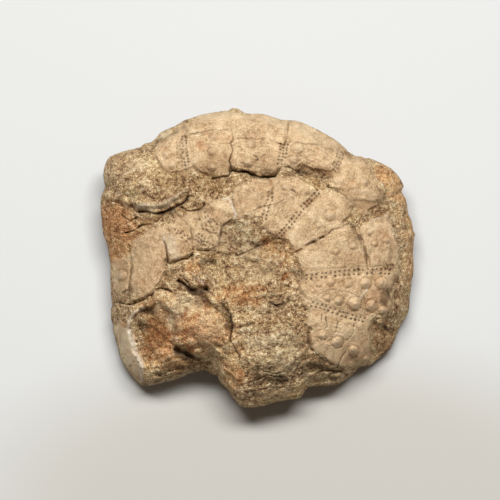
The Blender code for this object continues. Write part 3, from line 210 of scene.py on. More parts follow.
# Cracks and grooves: half width, depth, course
cracks = {
    "main groove": (0.5, 1.9, [
        (-4.25, 21.7), (-2.5, 21.2), (-1.5, 20.4), (-0.5, 20.1), (2.75, 19.9), (4.2, 20.1)]),
    "main groove left": (0.45, 0.9, [
        (-11.5, 19.4), (-9.0, 20.2), (-7.5, 20.3), (-6.6, 21.6), (-4.25, 21.6)]),
    "main groove right": (0.34, 0.7, [
        (4.2, 20.1), (4.9, 21.4), (6.0, 22.4), (7.8, 22.4), (9.5, 21.3), (11.5, 20.3)]),
    "far ledge foot": (0.9, 0.45, [(11.0, 21.5), (14.0, 20.5), (16.5, 19.8), (18.4, 20.3)]),
    "under shoulder": (0.45, 0.5, [
        (17.0, 17.8), (18.75, 17.4), (20.0, 16.75), (21.25, 15.75), (22.25, 14.6), (23.2, 13.7)]),
    "diagonal": (0.2, 0.28, [
        (8.8, 1.2), (10.8, 2.2), (13.8, 3.9), (16.6, 5.5), (18.6, 6.8), (20.2, 7.3), (21.4, 8.2),
        (23.4, 8.4)]),
    "diagonal gap a": (0.55, 1.6, [(9.4, 1.5), (10.8, 2.2)]),
    "diagonal gap b": (0.5, 1.4, [(12.2, 3.3), (13.8, 4.0)]),
    "diagonal gap c": (0.42, 1.2, [(15.3, 5.0), (16.3, 5.4)]),
    "diagonal gap d": (0.36, 1.0, [(17.6, 6.1), (18.7, 6.8)]),
    "right curve": (0.52, 0.5, [(23.2, 8.2), (24.5, 6.4), (25.6, 4.2), (26.4, 2.2)]),
    "right curve low": (0.38, 1.1, [(26.4, 2.2), (26.9, 0.2), (27.2, -2.4)]),
    "ledge": (0.5, 1.8, [
        (-29.7, 11.6), (-27.6, 11.2), (-25.2, 11.0), (-23.9, 11.1), (-22.7, 11.6), (-20.4, 12.5),
        (-18.2, 14.0), (-17.1, 15.3)]),
    "ledge right": (0.45, 1.4, [
        (-19.0, 12.4), (-18.1, 11.7), (-16.5, 11.6), (-14.9, 11.8), (-13.9, 12.3), (-13.4, 13.2)]),
    "far left a": (0.42, 1.0, [(-36.7, 14.2), (-35.2, 13.6), (-33.7, 12.9)]),
    "far left b": (0.38, 1.0, [(-31.1, 12.3), (-30.0, 11.3), (-28.8, 10.4)]),
    "red a": (0.38, 1.0, [(-34.4, 10.8), (-33.0, 9.6), (-32.0, 9.1), (-30.4, 10.1)]),
    "red b": (0.38, 1.0, [(-33.6, 6.3), (-32.3, 6.9), (-30.4, 7.5), (-28.8, 8.2), (-26.7, 8.3)]),
    "left plates": (0.26, 0.9, [(-23.2, 3.9), (-22.6, 1.5), (-22.4, -1.2)]),
    "under left small": (0.35, 1.0, [
        (-22.2, -1.4), (-20.5, -1.0), (-19.0, -0.5), (-17.0, 0.1), (-16.1, 0.9)]),
    "beside left small": (0.22, 0.4, [(-16.6, 7.5), (-16.4, 5.0), (-16.1, 3.0), (-16.1, 0.9)]),
    "long left": (0.38, 1.0, [
        (-36.0, -11.3), (-33.25, -11.5), (-31.25, -11.5), (-29.5, -10.9), (-27.75, -10.2), (-26.5, -9.1),
        (-25.5, -8.1), (-24.0, -7.4), (-22.6, -7.7), (-21.6, -8.3)]),
    "cavity": (0.6, 1.8, [(-20.0, -5.8), (-18.7, -6.5), (-17.6, -7.3), (-16.2, -7.9)]),
    "cavity right": (1.05, 2.8, [(-16.9, -7.9), (-15.4, -8.2), (-14.0, -8.2), (-12.8, -7.8)]),
    "cavity tail": (0.4, 0.6, [(-12.9, -7.8), (-11.6, -8.7), (-10.4, -10.2), (-9.4, -11.5)]),
    "cavity branch": (0.35, 0.9, [(-18.3, -5.4), (-17.4, -6.5), (-16.6, -7.5)]),
    "lump crack": (0.38, 1.2, [
        (-9.2, -11.4), (-8.1, -12.7), (-6.9, -13.7), (-6.4, -16.0), (-6.3, -18.4), (-6.9, -20.8)]),
    "near hollow": (1.1, 1.1, [(-20.8, -22.8), (-18.9, -24.0), (-17.1, -25.4)]),
    "near block a": (0.42, 0.7, [(-6.5, -20.5), (-5.5, -23.0), (-4.75, -24.75)]),
    "near block b": (0.4, 0.45, [(-5.7, -18.2), (-4.4, -17.3), (-2.8, -16.8), (-0.8, -16.2)]),
    "near block c": (0.35, 0.7, [(2.4, -21.6), (3.6, -22.0), (4.4, -22.6)]),
    "near block d": (0.3, 0.35, [(7.2, -15.9), (8.6, -17.2), (10.2, -18.1), (11.4, -19.6)]),
    "near right plate": (0.3, 0.6, [(22.9, -22.4), (22.1, -23.7), (21.0, -25.2), (20.0, -26.8)]),
    "under right": (0.3, 0.4, [(29.0, -15.9), (30.6, -16.8), (32.2, -17.9), (33.2, -18.6)]),
    "near overhang": (0.45, 0.8, [
        (15.6, -28.7), (17.8, -28.3), (20.2, -28.4), (22.0, -29.2), (22.9, -29.9)]),
    "grey block left": (0.35, 0.8, [(-8.9, 8.1), (-9.1, 6.5), (-9.1, 4.5), (-9.1, 3.2)]),
    "grey block top": (0.3, 0.5, [(-8.8, 8.2), (-7.2, 9.0), (-5.4, 9.3), (-3.6, 9.8), (-2.2, 9.4)]),
    "under porous": (0.35, 0.8, [(-15.0, 2.1), (-12.0, 1.8)]),
    "middle pit": (0.5, 1.0, [(2.8, -10.9), (4.4, -11.7), (5.9, -11.4), (8.0, -10.8)]),
    "grey block foot": (0.35, 0.7, [(-5.5, 0.6), (-3.9, 1.0), (-2.0, 1.9), (0.3, 2.8)]),
    "right near edge": (0.32, 0.6, [
        (12.4, -18.8), (12.3, -21.4), (13.4, -23.1), (15.2, -24.6), (17.0, -26.2)]),
    "right pocket": (0.9, 0.4, [(32.4, -8.0), (33.4, -10.6)]),
    "near right foot": (0.6, 0.6, [(18.5, -30.9), (21.6, -30.0)]),
}

# Pale ribs: half width, height, course
ribs = {
    "ledge rib": (1.2, 0.8, [
        (-32.0, 13.75), (-28.75, 13.2), (-25.75, 12.9), (-23.25, 13.4), (-20.0, 15.1), (-18.0, 16.5)]),
    "far left lip": (0.9, 0.6, [(-27.5, 27.0), (-24.5, 29.3), (-22.0, 30.5), (-20.0, 31.0)]),
    "near left lip": (0.85, 0.9, [
        (-30.4, -13.4), (-31.8, -14.8), (-32.6, -16.3), (-32.9, -18.0), (-32.4, -20.0), (-31.9, -22.0),
        (-31.2, -24.4), (-30.1, -26.3), (-29.1, -28.1)]),
    "shoulder lip": (0.6, 0.4, [(28.2, 21.4), (29.9, 19.5), (31.7, 17.3), (33.0, 14.5)]),
    "near edge": (0.8, 0.6, [(-28.5, -30.9), (-24.5, -30.2), (-19.5, -28.8), (-15.0, -27.6)]),
}

# Double rows of pores: darkness of their painted shade, pitch along the row, gap between the pores of a
# pair, course
poreRows = [
    (0.8, 0.85, 0.8, [(-18.75, 30.75), (-18.4, 27.0), (-17.6, 22.5)]),
    (0.5, 0.9, 0.9, [(-20.1, 29.5), (-19.2, 22.5)]),
    (0.9, 0.95, 1.7, [(6.65, 29.2), (6.25, 26.5), (5.8, 23.2)]),
    (0.8, 0.8, 1.6, [(20.9, 26.9), (20.2, 24.4), (18.7, 22.0)]),
    (0.95, 0.95, 0.95, [(3.1, 16.5), (2.9, 14.25), (2.1, 12.5), (1.5, 9.75)]),
    (1.0, 0.92, 0.85, [(15.1, 16.6), (12.6, 14.0), (10.2, 11.6), (8.4, 9.0), (6.8, 7.2), (4.75, 5.0)]),
    (1.0, 1.17, 1.0, [
        (11.6, -4.8), (16.0, -4.3), (21.0, -3.75), (24.5, -3.5), (28.4, -3.25), (33.5, -3.4)]),
    (1.0, 1.17, 0.95, [
        (13.0, -11.4), (15.25, -11.9), (17.5, -12.6), (20.0, -13.6), (22.25, -14.3), (27.0, -15.7)]),
]

# Tubercles: x, y, radius
tubercles = [
    (-11.2, 30.4, 0.9), (-11.4, 26.4, 1.0), (-11.5, 22.4, 1.0), (-1.8, 28.4, 1.1), (-2.4, 23.6, 1.15),
    (-22.7, 25.8, 1.0), (-21.2, 23.2, 1.0), (-23.2, 28.5, 0.85), (9.9, 27.7, 1.4), (8.8, 24.5, 1.1),
    (27.0, 19.2, 0.9), (17.7, 10.5, 1.25), (14.75, 8.0, 0.65), (23.75, 3.0, 0.85), (19.25, 1.5, 0.75),
    (6.5, 17.5, 0.65), (12.0, 16.4, 0.75), (15.0, -6.5, 0.65), (18.0, -6.0, 0.85), (22.25, -6.3, 1.0),
    (26.7, -6.3, 1.3), (31.0, -6.3, 1.4), (17.25, -10.0, 0.75), (20.0, -10.6, 1.0), (24.0, -11.4, 1.6),
    (28.25, -12.0, 1.4), (31.3, -13.2, 1.1), (16.0, -19.1, 1.05), (19.8, -21.0, 1.35), (24.1, -23.4, 1.2),
    (27.6, -25.7, 0.85), (-0.6, 32.2, 0.8), (-34.6, -4.4, 1.3), (27.75, 6.25, 0.65), (29.2, 3.5, 0.65),
    (32.5, 4.5, 0.75),
]

# Rounded lumps and dents: x, y, half length, half width, turn in degrees, rise
lumps = [
    (-13.4, -17.8, 6.4, 5.8, 10, 2.5), (-17.2, -14.2, 2.6, 1.8, 30, 0.8),
    (-10.0, -15.0, 2.2, 1.8, -20, 0.7), (-15.5, -21.0, 2.8, 2.0, -30, 0.7),
    (-10.2, -20.0, 2.0, 2.4, 0, 0.6), (-15.5, -1.75, 1.5, 2.5, -15, 0.9),
    (-12.8, -10.8, 3.0, 1.4, -56, -1.0), (-18.7, -24.1, 5.0, 2.8, -36, -2.6),
    (-27.6, -13.6, 2.8, 1.4, 10, -1.0), (-29.2, -17.3, 2.4, 0.9, 15, -0.8),
    (-23.6, -19.0, 2.2, 2.6, -30, 0.8), (-24.0, -24.0, 2.8, 2.0, 20, 0.7), (20.0, -30.3, 1.9, 1.1, 20, 1.6),
    (14.0, -29.8, 1.7, 1.2, 0, 0.9), (-36.0, -18.6, 1.0, 1.2, 0, 0.6), (-26.8, -21.5, 1.8, 2.6, 10, 0.8),
    (-32.0, 20.0, 3.2, 2.4, 20, 0.6), (-25.0, 18.5, 3.4, 2.2, -20, 0.5), (-35.0, 8.0, 3.0, 2.0, 60, 0.5),
    (-2.0, -25.0, 5.0, 3.2, 15, 0.7), (6.0, -27.5, 3.6, 3.0, 0, 0.5), (3.5, -31.5, 4.0, 1.8, 0, -0.8),
    (-7.0, -28.0, 2.8, 3.4, 0, 0.6), (-6.0, -11.5, 3.0, 2.0, 0, 0.5), (0.0, -9.2, 1.4, 1.2, 0, 0.5),
    (36.2, 12.0, 1.5, 3.0, 0, 0.5), (33.5, 19.0, 2.4, 2.6, 30, 0.5),
]

# Hairline cracks and zigzag sutures: half width, depth, course
hairlines = [
    (0.07, 0.12, [(7.0, 29.7), (10.6, 29.4), (15.0, 28.7), (19.0, 27.2)]),
    (0.1, 0.25, [
        (-6.6, 32.1), (-6.0, 30.4), (-7.0, 28.5), (-6.5, 26.5), (-7.2, 24.0), (-6.7, 22.2), (-7.6, 20.3)]),
    (0.14, 0.3, [(2.75, 29.9), (6.0, 28.9)]),
    (0.08, 0.15, [(-17.0, 31.2), (-14.0, 31.9), (-12.0, 32.2), (-8.25, 32.2), (-6.6, 31.6)]),
    (0.08, 0.12, [(-5.4, 29.8), (-2.0, 30.2), (2.75, 29.9)]),
    (0.25, 0.4, [(-2.0, -31.1), (2.4, -29.5), (6.1, -29.9)]),
    (0.2, 0.35, [(1.75, -28.2), (4.0, -28.8), (6.75, -28.5)]),
    (0.2, 0.35, [(10.7, -27.8), (11.8, -28.6), (10.4, -30.2)]),
    (0.2, 0.35, [(2.4, -31.1), (4.25, -32.0), (6.75, -31.75)]),
    (0.16, 0.28, [(-6.2, 28.0), (-4.6, 27.4), (-3.0, 26.0)]),
    (0.16, 0.25, [(-1.25, 25.5), (0.25, 24.5), (-0.5, 23.75)]),
    (0.16, 0.25, [(1.0, 25.0), (2.0, 25.75)]),
    (0.08, 0.12, [(-17.8, 28.3), (-14.5, 28.6), (-10.5, 28.2), (-7.3, 28.5)]),
    (0.18, 0.28, [(-2.0, 11.3), (1.0, 12.6), (3.5, 13.0), (6.25, 14.3)]),
    (0.18, 0.28, [(8.0, 17.0), (9.5, 16.2)]),
    (0.18, 0.3, [(27.8, 21.0), (29.4, 19.1), (31.1, 16.9), (32.3, 14.4)]),
    (0.14, 0.2, [(31.0, 20.0), (32.0, 18.6), (33.0, 17.0)]),
    (0.08, 0.1, [(14.5, -9.3), (15.8, -8.8), (17.3, -7.8), (20.6, -8.1), (23.5, -8.9), (26.2, -10.0)]),
    (0.12, 0.2, [(25.6, -8.0), (26.5, -9.8), (26.2, -12.0), (26.0, -13.5)]),
    (0.3, 0.5, [(-30.75, -18.25), (-29.5, -17.75), (-27.75, -17.4)]),
    (0.3, 0.4, [(-29.25, -28.25), (-27.5, -28.0), (-25.0, -27.25)]),
    (0.25, 0.35, [(-27.2, 26.8), (-24.4, 29.8), (-20.4, 31.6), (-18.2, 33.2)]),
    (0.2, 0.3, [(15.75, -13.75), (15.5, -16.0)]),
    (0.12, 0.15, [(16.6, -14.6), (17.2, -16.6), (16.4, -18.4)]),
    (0.18, 0.25, [(20.0, -15.5), (19.25, -18.0), (18.0, -20.5)]),
    (0.18, 0.25, [(24.0, -16.3), (23.5, -19.0), (22.0, -21.0)]),
    (0.2, 0.3, [(0.5, -33.5), (4.0, -32.5), (6.5, -33.0)]),
    (0.22, 0.35, [(9.25, -25.75), (11.75, -25.5)]),
    (0.2, 0.3, [(-20.5, 12.0), (-19.0, 9.5), (-17.5, 8.2)]),
    (0.2, 0.3, [(-13.0, 6.9), (-11.5, 6.3), (-9.8, 6.4)]),
    (0.7, 0.2, [(-18.2, -7.0), (-16.6, -7.9), (-15.2, -8.2), (-13.2, -7.9)]),
    (0.2, 0.3, [(-23.0, -4.2), (-21.6, -4.8), (-20.2, -5.7)]),
    (0.2, 0.3, [(0.2, -27.4), (-0.4, -29.6), (-1.3, -31.8)]),
    (0.18, 0.3, [(9.9, -26.1), (11.4, -25.4), (13.0, -25.1)]),
    (0.16, 0.25, [(4.6, -30.8), (6.0, -31.6), (7.6, -31.2)]),
    (0.16, 0.25, [(-22.0, -20.5), (-20.6, -22.0), (-19.6, -22.8)]),
]

# Single pores: x, y
singlePores = [
    (-12.4, 10.3), (-11.8, 9.7), (-12.1, 8.9), (-11.2, 9.4), (-10.7, 8.9), (-10.2, 8.3), (-11.6, 7.7),
    (-12.9, 8.1), (-13.9, 8.0), (-13.6, 7.1), (-12.6, 6.9), (-11.0, 6.9), (-15.3, 5.3), (-14.7, 4.9),
    (-14.1, 4.4), (-13.4, 4.1), (-12.7, 3.8), (-12.0, 3.4), (-11.2, 3.2), (-14.6, 5.9), (-13.9, 5.4),
    (-13.2, 4.9), (-20.6, 7.0), (-19.8, 6.7), (-19.1, 6.4), (-20.2, 6.2), (-18.6, 6.6), (-16.9, 4.6),
    (-17.5, 5.6), (-13.25, 11.25), (-13.0, 10.0), (-12.25, 9.0), (-11.75, 9.0), (-14.5, 9.5), (-11.25, 7.5),
    (-10.5, 6.0), (-10.0, 5.5), (-15.2, 4.5), (-14.75, 4.0), (-14.0, 3.75), (-13.5, 3.25), (-13.0, 3.0),
    (-12.25, 2.75), (-19.3, 6.1), (-18.2, 5.6), (-17.4, 4.8), (-18.9, 5.0), (-17.8, 4.1), (-30.9, -25.2),
    (-31.8, -26.4), (-30.3, -26.4), (-32.4, -27.4), (-29.5, -27.9), (-25.25, -31.2), (-22.5, -28.5),
    (-28.5, -28.5),
]

# Coloured patches: x, y, half length, half width, turn in degrees, strength
patches = {
    "orange": [
        (-4.6, -9.3, 6.4, 3.5, 0, 0.9), (-8.4, -9.6, 2.8, 1.7, -20, 1.0), (-13.3, -18.0, 8.0, 7.0, 0, 0.95),
        (-25.0, -20.5, 5.5, 8.0, 0, 0.7), (-17.1, -20.0, 2.8, 2.8, 0, 1.0),
        (-25.7, -24.6, 2.6, 2.4, 0, 1.0), (-6.8, -29.0, 2.8, 5.0, 15, 0.85),
        (-6.2, -24.5, 2.4, 4.0, 0, 0.45), (31.0, -20.0, 3.0, 6.0, 0, 0.35),
        (33.8, 18.5, 6.5, 2.6, -52, 1.0), (-35.5, 6.5, 7.0, 8.5, 0, 0.75), (38.4, 3.0, 1.6, 12.0, 0, 0.6),
        (-15.7, -2.0, 2.0, 2.8, 0, 1.0), (5.0, 1.0, 6.0, 5.0, 0, 0.45), (-23.0, -26.5, 5.5, 2.4, -10, 0.7),
        (-18.0, 10.0, 2.6, 1.8, 0, 0.4), (-23.3, -12.0, 3.2, 4.2, 0, 0.6), (-29.5, 8.0, 4.0, 2.0, 20, 0.5),
        (-27.0, -12.0, 5.0, 1.6, 10, 0.5)],
    "rust": [
        (-35.5, 8.5, 4.5, 6.0, 20, 0.45), (-36.0, 2.5, 2.4, 4.5, 0, 0.4), (-31.5, 5.5, 3.5, 1.6, 30, 0.35),
        (-16.6, -18.4, 2.6, 2.0, 0, 0.8), (-25.5, -20.5, 4.8, 6.5, 0, 0.45),
        (-15.5, -18.0, 5.5, 5.0, 0, 0.35), (-18.9, -14.6, 1.1, 2.8, -12, 0.9),
        (-17.2, -22.3, 1.8, 1.0, -20, 0.8), (-10.75, -20.5, 1.6, 1.4, 0, 0.4),
        (7.0, -5.0, 1.6, 0.9, 0, 0.8), (0.0, -7.6, 2.2, 1.2, 0, 0.6), (-3.0, -10.4, 2.6, 1.6, 10, 0.45),
        (1.8, 4.5, 2.2, 1.3, -20, 0.7), (-12.9, -10.8, 3.2, 1.5, -56, 0.6),
        (-24.0, -14.0, 2.0, 1.2, 0, 0.5), (-20.0, -18.0, 1.2, 2.2, 0, 0.4), (-5.5, -29.5, 1.6, 3.0, 0, 0.5),
        (35.2, 17.2, 1.0, 1.6, 0, 0.2), (-34.2, -17.2, 1.4, 1.0, 0, 0.7), (-19.4, -15.4, 1.2, 2.4, 0, 0.7),
        (-2.5, -27.0, 2.2, 1.0, 20, 0.3), (-13.5, -6.5, 2.0, 1.0, 0, 0.5),
        (-26.6, -25.4, 1.8, 1.0, 30, 0.5), (-13.6, 28.6, 1.1, 1.0, 0, 0.35),
        (-7.0, 25.0, 1.4, 0.8, 0, 0.25), (14.5, 28.5, 1.6, 0.7, -30, 0.3),
        (-25.5, -10.6, 2.0, 1.0, 20, 0.4), (-31.9, 20.3, 1.2, 0.9, 0, 0.4), (12.9, 14.3, 1.7, 0.7, 45, 0.6),
        (3.4, 17.9, 0.7, 0.8, 0, 0.6), (29.2, -9.8, 2.2, 1.3, 0, 0.25)],
    "grey": [
        (-4.0, 5.5, 6.0, 4.0, 0, 0.8), (31.5, -21.0, 5.0, 6.5, 0, 0.15), (17.0, -30.2, 8.0, 2.8, 0, 0.35),
        (6.0, -29.0, 8.0, 5.5, 0, 0.55), (7.0, -20.0, 6.0, 5.0, 0, 0.4), (24.0, 13.0, 3.0, 1.6, 0, 0.4),
        (-20.0, 10.6, 4.0, 1.2, 0, 0.3), (-34.4, -4.0, 1.8, 4.0, 0, 0.15),
        (-34.5, -14.5, 2.0, 3.6, 10, 0.4), (0.0, -19.0, 6.0, 2.4, 0, 0.3)],
    # Dark patches: mostly painted shade in hollows, grooves, the cavity and under ledges, with a few dark
    # brown stains
    "dark": [
        (-12.9, -10.8, 2.6, 1.1, -52, 0.7), (-10.0, -12.4, 3.8, 0.9, -32, 0.75),
        (-6.9, -15.8, 0.8, 3.4, -8, 0.8), (16.6, -26.0, 3.0, 1.1, -35, 0.6), (1.8, 4.4, 1.2, 0.9, 0, 0.8),
        (5.9, 3.8, 1.4, 1.0, 0, 0.4), (-1.4, -34.0, 1.6, 0.8, 0, 0.5), (-27.6, -13.5, 2.3, 1.0, 8, 0.75),
        (-29.0, -16.6, 2.4, 1.8, 0, 0.4), (32.5, -9.8, 1.5, 2.9, -12, 0.75), (11.5, 21.3, 6.0, 0.9, 0, 0.5),
        (5.5, -30.6, 3.4, 1.0, 10, 0.5), (-18.7, -24.4, 3.8, 1.9, -36, 1.0),
        (-22.0, -12.0, 3.6, 1.0, 10, 0.3), (17.2, -27.2, 3.4, 1.5, -10, 0.45),
        (-5.6, 8.4, 3.4, 0.6, 10, 0.4), (-15.4, -8.3, 3.2, 1.1, -5, 1.0), (-0.6, -29.5, 0.8, 2.8, -12, 0.6),
        (3.0, -29.8, 4.5, 2.0, 0, 0.4), (32.0, -17.5, 1.6, 0.8, -38, 0.7), (1.0, 20.4, 5.0, 0.6, 0, 0.5),
        (-29.2, -17.7, 2.0, 0.6, 15, 0.6), (-8.0, -13.2, 1.4, 2.4, 20, 0.7), (4.8, -11.4, 2.4, 0.9, 0, 0.5),
        (1.0, 4.0, 4.4, 1.0, 15, 0.5), (-12.2, -0.6, 2.0, 1.0, -15, 0.7), (10.0, -4.5, 2.6, 1.0, -35, 0.4),
        (-14.0, -0.8, 1.2, 1.4, 0, 0.6), (-22.5, 11.0, 3.4, 0.8, 10, 0.6), (2.5, -27.6, 2.4, 0.8, 10, 0.5),
        (10.0, -26.0, 2.0, 0.7, 10, 0.4), (-30.0, 16.5, 2.6, 0.8, 0, 0.4),
        (-12.0, 11.8, 1.6, 1.0, 30, 0.4)],
    # Pale stone, and on the near side and the near left strip painted light that brightens slopes turned
    # from the lamp
    "pale": [
        (-22.3, -16.4, 1.7, 2.0, 0, 0.8), (-34.6, -4.4, 1.0, 1.0, 0, 0.8),
        (-19.5, -15.0, 1.2, 3.2, 10, 0.5), (-1.0, -24.0, 1.1, 0.7, 0, 0.8),
        (-11.8, -24.5, 1.4, 3.0, 20, 0.5), (0.0, -21.2, 4.6, 2.6, 0, 0.5), (-11.5, 36.2, 12.0, 1.4, 0, 0.5),
        (-13.0, -15.0, 3.4, 1.6, 30, 0.5), (-28.0, 12.8, 3.5, 1.0, -4, 0.9),
        (-22.6, 13.7, 4.0, 1.0, 24, 0.9), (9.0, 32.5, 9.0, 1.8, -20, 0.4), (-24.3, 31.2, 3.4, 1.0, 37, 1.2),
        (-13.5, -19.0, 5.0, 4.0, 20, 0.3), (-18.5, -11.5, 6.0, 2.4, -5, 0.45),
        (6.0, -23.0, 8.0, 5.0, 0, 0.3), (22.0, -21.5, 6.0, 6.0, 0, 0.2), (-34.0, -22.6, 2.1, 6.4, 14, 1.0),
        (-28.5, 0.0, 3.0, 6.0, 0, 0.3), (-21.4, 2.6, 1.2, 3.4, 10, 0.4), (1.0, -2.0, 5.0, 3.4, 0, 0.45),
        (-2.0, 1.0, 4.0, 2.0, 20, 0.4), (-24.5, -14.5, 2.4, 1.4, 30, 0.4),
        (-16.5, -10.6, 4.0, 1.4, 10, 0.5), (-9.6, -17.0, 1.6, 3.0, 10, 0.4),
        (-30.0, 23.5, 5.0, 2.4, 10, 0.35), (-22.0, 3.6, 1.6, 3.0, 0, 0.5), (22.5, 3.6, 3.4, 2.0, 10, 0.35),
        (15.5, 10.5, 3.0, 3.0, 0, 0.3)],
    # Dirt, and painted shade at the feet of grooves and on the right flank
    "dirtAndShade": [
        (11.2, -20.0, 2.0, 5.5, 8, 0.7), (14.0, -25.6, 4.2, 1.8, -35, 0.7), (3.0, -15.6, 6.0, 1.4, 8, 0.5),
        (1.0, -31.5, 7.0, 2.2, -8, 0.45), (32.6, -13.0, 1.8, 5.0, 12, 0.5),
        (-1.0, -3.0, 11.0, 10.0, 0, 0.4), (-10.5, 24.0, 5.0, 4.0, 0, 0.5), (-1.5, 24.5, 4.5, 3.0, 0, 0.3),
        (-26.5, -18.0, 4.6, 5.0, 0, 0.9), (15.0, 21.4, 7.5, 1.8, 0, 0.9), (-14.0, 21.0, 5.0, 1.6, 10, 0.6),
        (-19.0, -27.0, 7.0, 2.4, -10, 0.6), (-24.0, 10.4, 7.0, 1.8, 10, 0.8),
        (27.5, 12.3, 6.5, 2.2, -5, 0.7), (36.6, 10.0, 1.6, 4.0, 0, 0.3), (35.2, -9.0, 2.2, 6.0, 0, 0.5),
        (-20.5, -5.0, 4.0, 3.0, -30, 0.5), (3.6, 4.4, 4.6, 2.4, 10, 0.75), (-12.5, 18.0, 7.0, 2.6, 0, 0.9),
        (-16.0, 13.0, 4.0, 2.0, 0, 0.5), (-2.0, 20.6, 6.0, 1.0, 0, 0.4), (-23.0, 16.0, 7.0, 2.4, 20, 0.3),
        (-4.0, 16.0, 4.0, 1.4, 20, 0.15), (-36.0, -12.5, 2.0, 4.0, 0, 0.4),
        (30.0, -26.0, 4.0, 3.0, 30, 0.15), (-21.5, 20.0, 4.5, 3.5, 0, 0.7),
        (-20.0, 16.0, 6.0, 2.5, 15, 0.5), (-14.5, 20.4, 7.0, 1.5, -4, 0.9),
        (14.3, 19.0, 3.5, 1.2, -25, 0.9), (24.6, 11.0, 3.4, 1.8, 0, 0.8), (-11.5, 0.5, 3.6, 1.6, 0, 0.7),
        (31.5, -20.5, 3.4, 6.0, 10, 0.5), (-34.5, -4.5, 2.2, 4.5, 0, 0.5)],
    "pink": [
        (-27.5, -2.0, 5.0, 8.5, 0, 0.4), (23.5, 17.0, 4.5, 2.2, -40, 0.25), (17.5, -7.0, 9.0, 3.0, -5, 0.2),
        (29.5, -10.0, 4.0, 4.5, 0, 0.4), (-13.6, 28.4, 2.0, 1.8, 0, 0.6), (24.0, -24.0, 4.5, 4.0, 0, 0.5),
        (-33.6, -22.0, 2.4, 6.2, 12, 0.5), (-18.2, 3.0, 2.6, 3.0, 0, 0.35),
        (-11.0, 11.0, 2.4, 2.4, 0, 0.35), (24.0, -0.5, 3.4, 2.0, 0, 0.35), (-8.5, 30.0, 2.4, 1.4, 0, 0.3),
        (-28.7, 19.5, 1.2, 0.9, 0, 0.6), (31.5, 5.0, 2.6, 4.0, 0, 0.35), (-3.0, 14.0, 2.0, 2.4, 0, 0.3)],
}

# White broken edges and scratches, and painted light along the shaded near left side: half width, strength,
# course
whiteLines = [
    (0.55, 0.62, [(-8.9, 14.6), (-7.2, 14.9), (-6.5, 13.7), (-6.3, 12.6), (-5.6, 11.3), (-5.9, 9.9)]),
    (0.6, 0.5, [(-28.4, -12.7), (-30.5, -13.4), (-31.8, -14.8), (-32.6, -16.3), (-32.9, -17.6)]),
    (1.1, 0.4, [(-30.3, 13.2), (-28.4, 12.8), (-26.5, 12.7)]),
    (0.9, 0.22, [(-29.5, 12.9), (-26.5, 12.5), (-23.2, 13.4), (-20.4, 15.0)]),
    (0.45, 0.28, [(-26.5, 12.9), (-23.2, 13.9), (-20.2, 15.5), (-18.2, 16.9)]),
    (1.3, 0.85, [
        (-32.9, -18.3), (-32.4, -20.0), (-31.9, -22.0), (-31.2, -24.4), (-30.1, -26.3), (-29.2, -28.0)]),
    (0.8, 0.4, [(-29.5, -28.8), (-29.5, -31.0)]),
    # painted light along the near left side
    (1.6, 0.28, [(-34.8, -18.5), (-34.4, -21.0), (-33.6, -24.0), (-32.2, -27.0), (-30.6, -29.6)]),
    (2.6, 0.3, [(-21.9, 4.4), (-21.2, 1.4)]),
    (0.2, 0.55, [(-15.5, -4.7), (-14.25, -5.9), (-12.2, -4.2)]),
    (0.2, 0.5, [(-14.0, -5.75), (-13.25, -6.75)]),
    (0.32, 0.9, [(25.4, -9.8), (26.4, -8.4), (27.1, -7.4)]),
    (0.3, 0.6, [(-33.7, 0.0), (-32.0, -0.6)]),
    (0.4, 0.6, [(-23.3, 5.4), (-23.1, 3.8)]),
    (0.6, 0.35, [(-21.8, 2.6), (-21.2, 1.2)]),
    (0.3, 0.4, [(-28.25, -31.9), (-24.5, -31.2), (-19.5, -29.8), (-15.0, -28.3)]),
    (0.2, 0.4, [(9.8, 2.6), (13.0, 4.2), (16.0, 5.9)]),
    (0.2, 0.5, [(28.0, 9.0), (29.6, 10.0), (31.4, 10.4), (32.2, 11.2), (33.2, 9.4)]),
    (0.25, 0.45, [(34.2, 7.4), (35.0, 5.0)]),
]

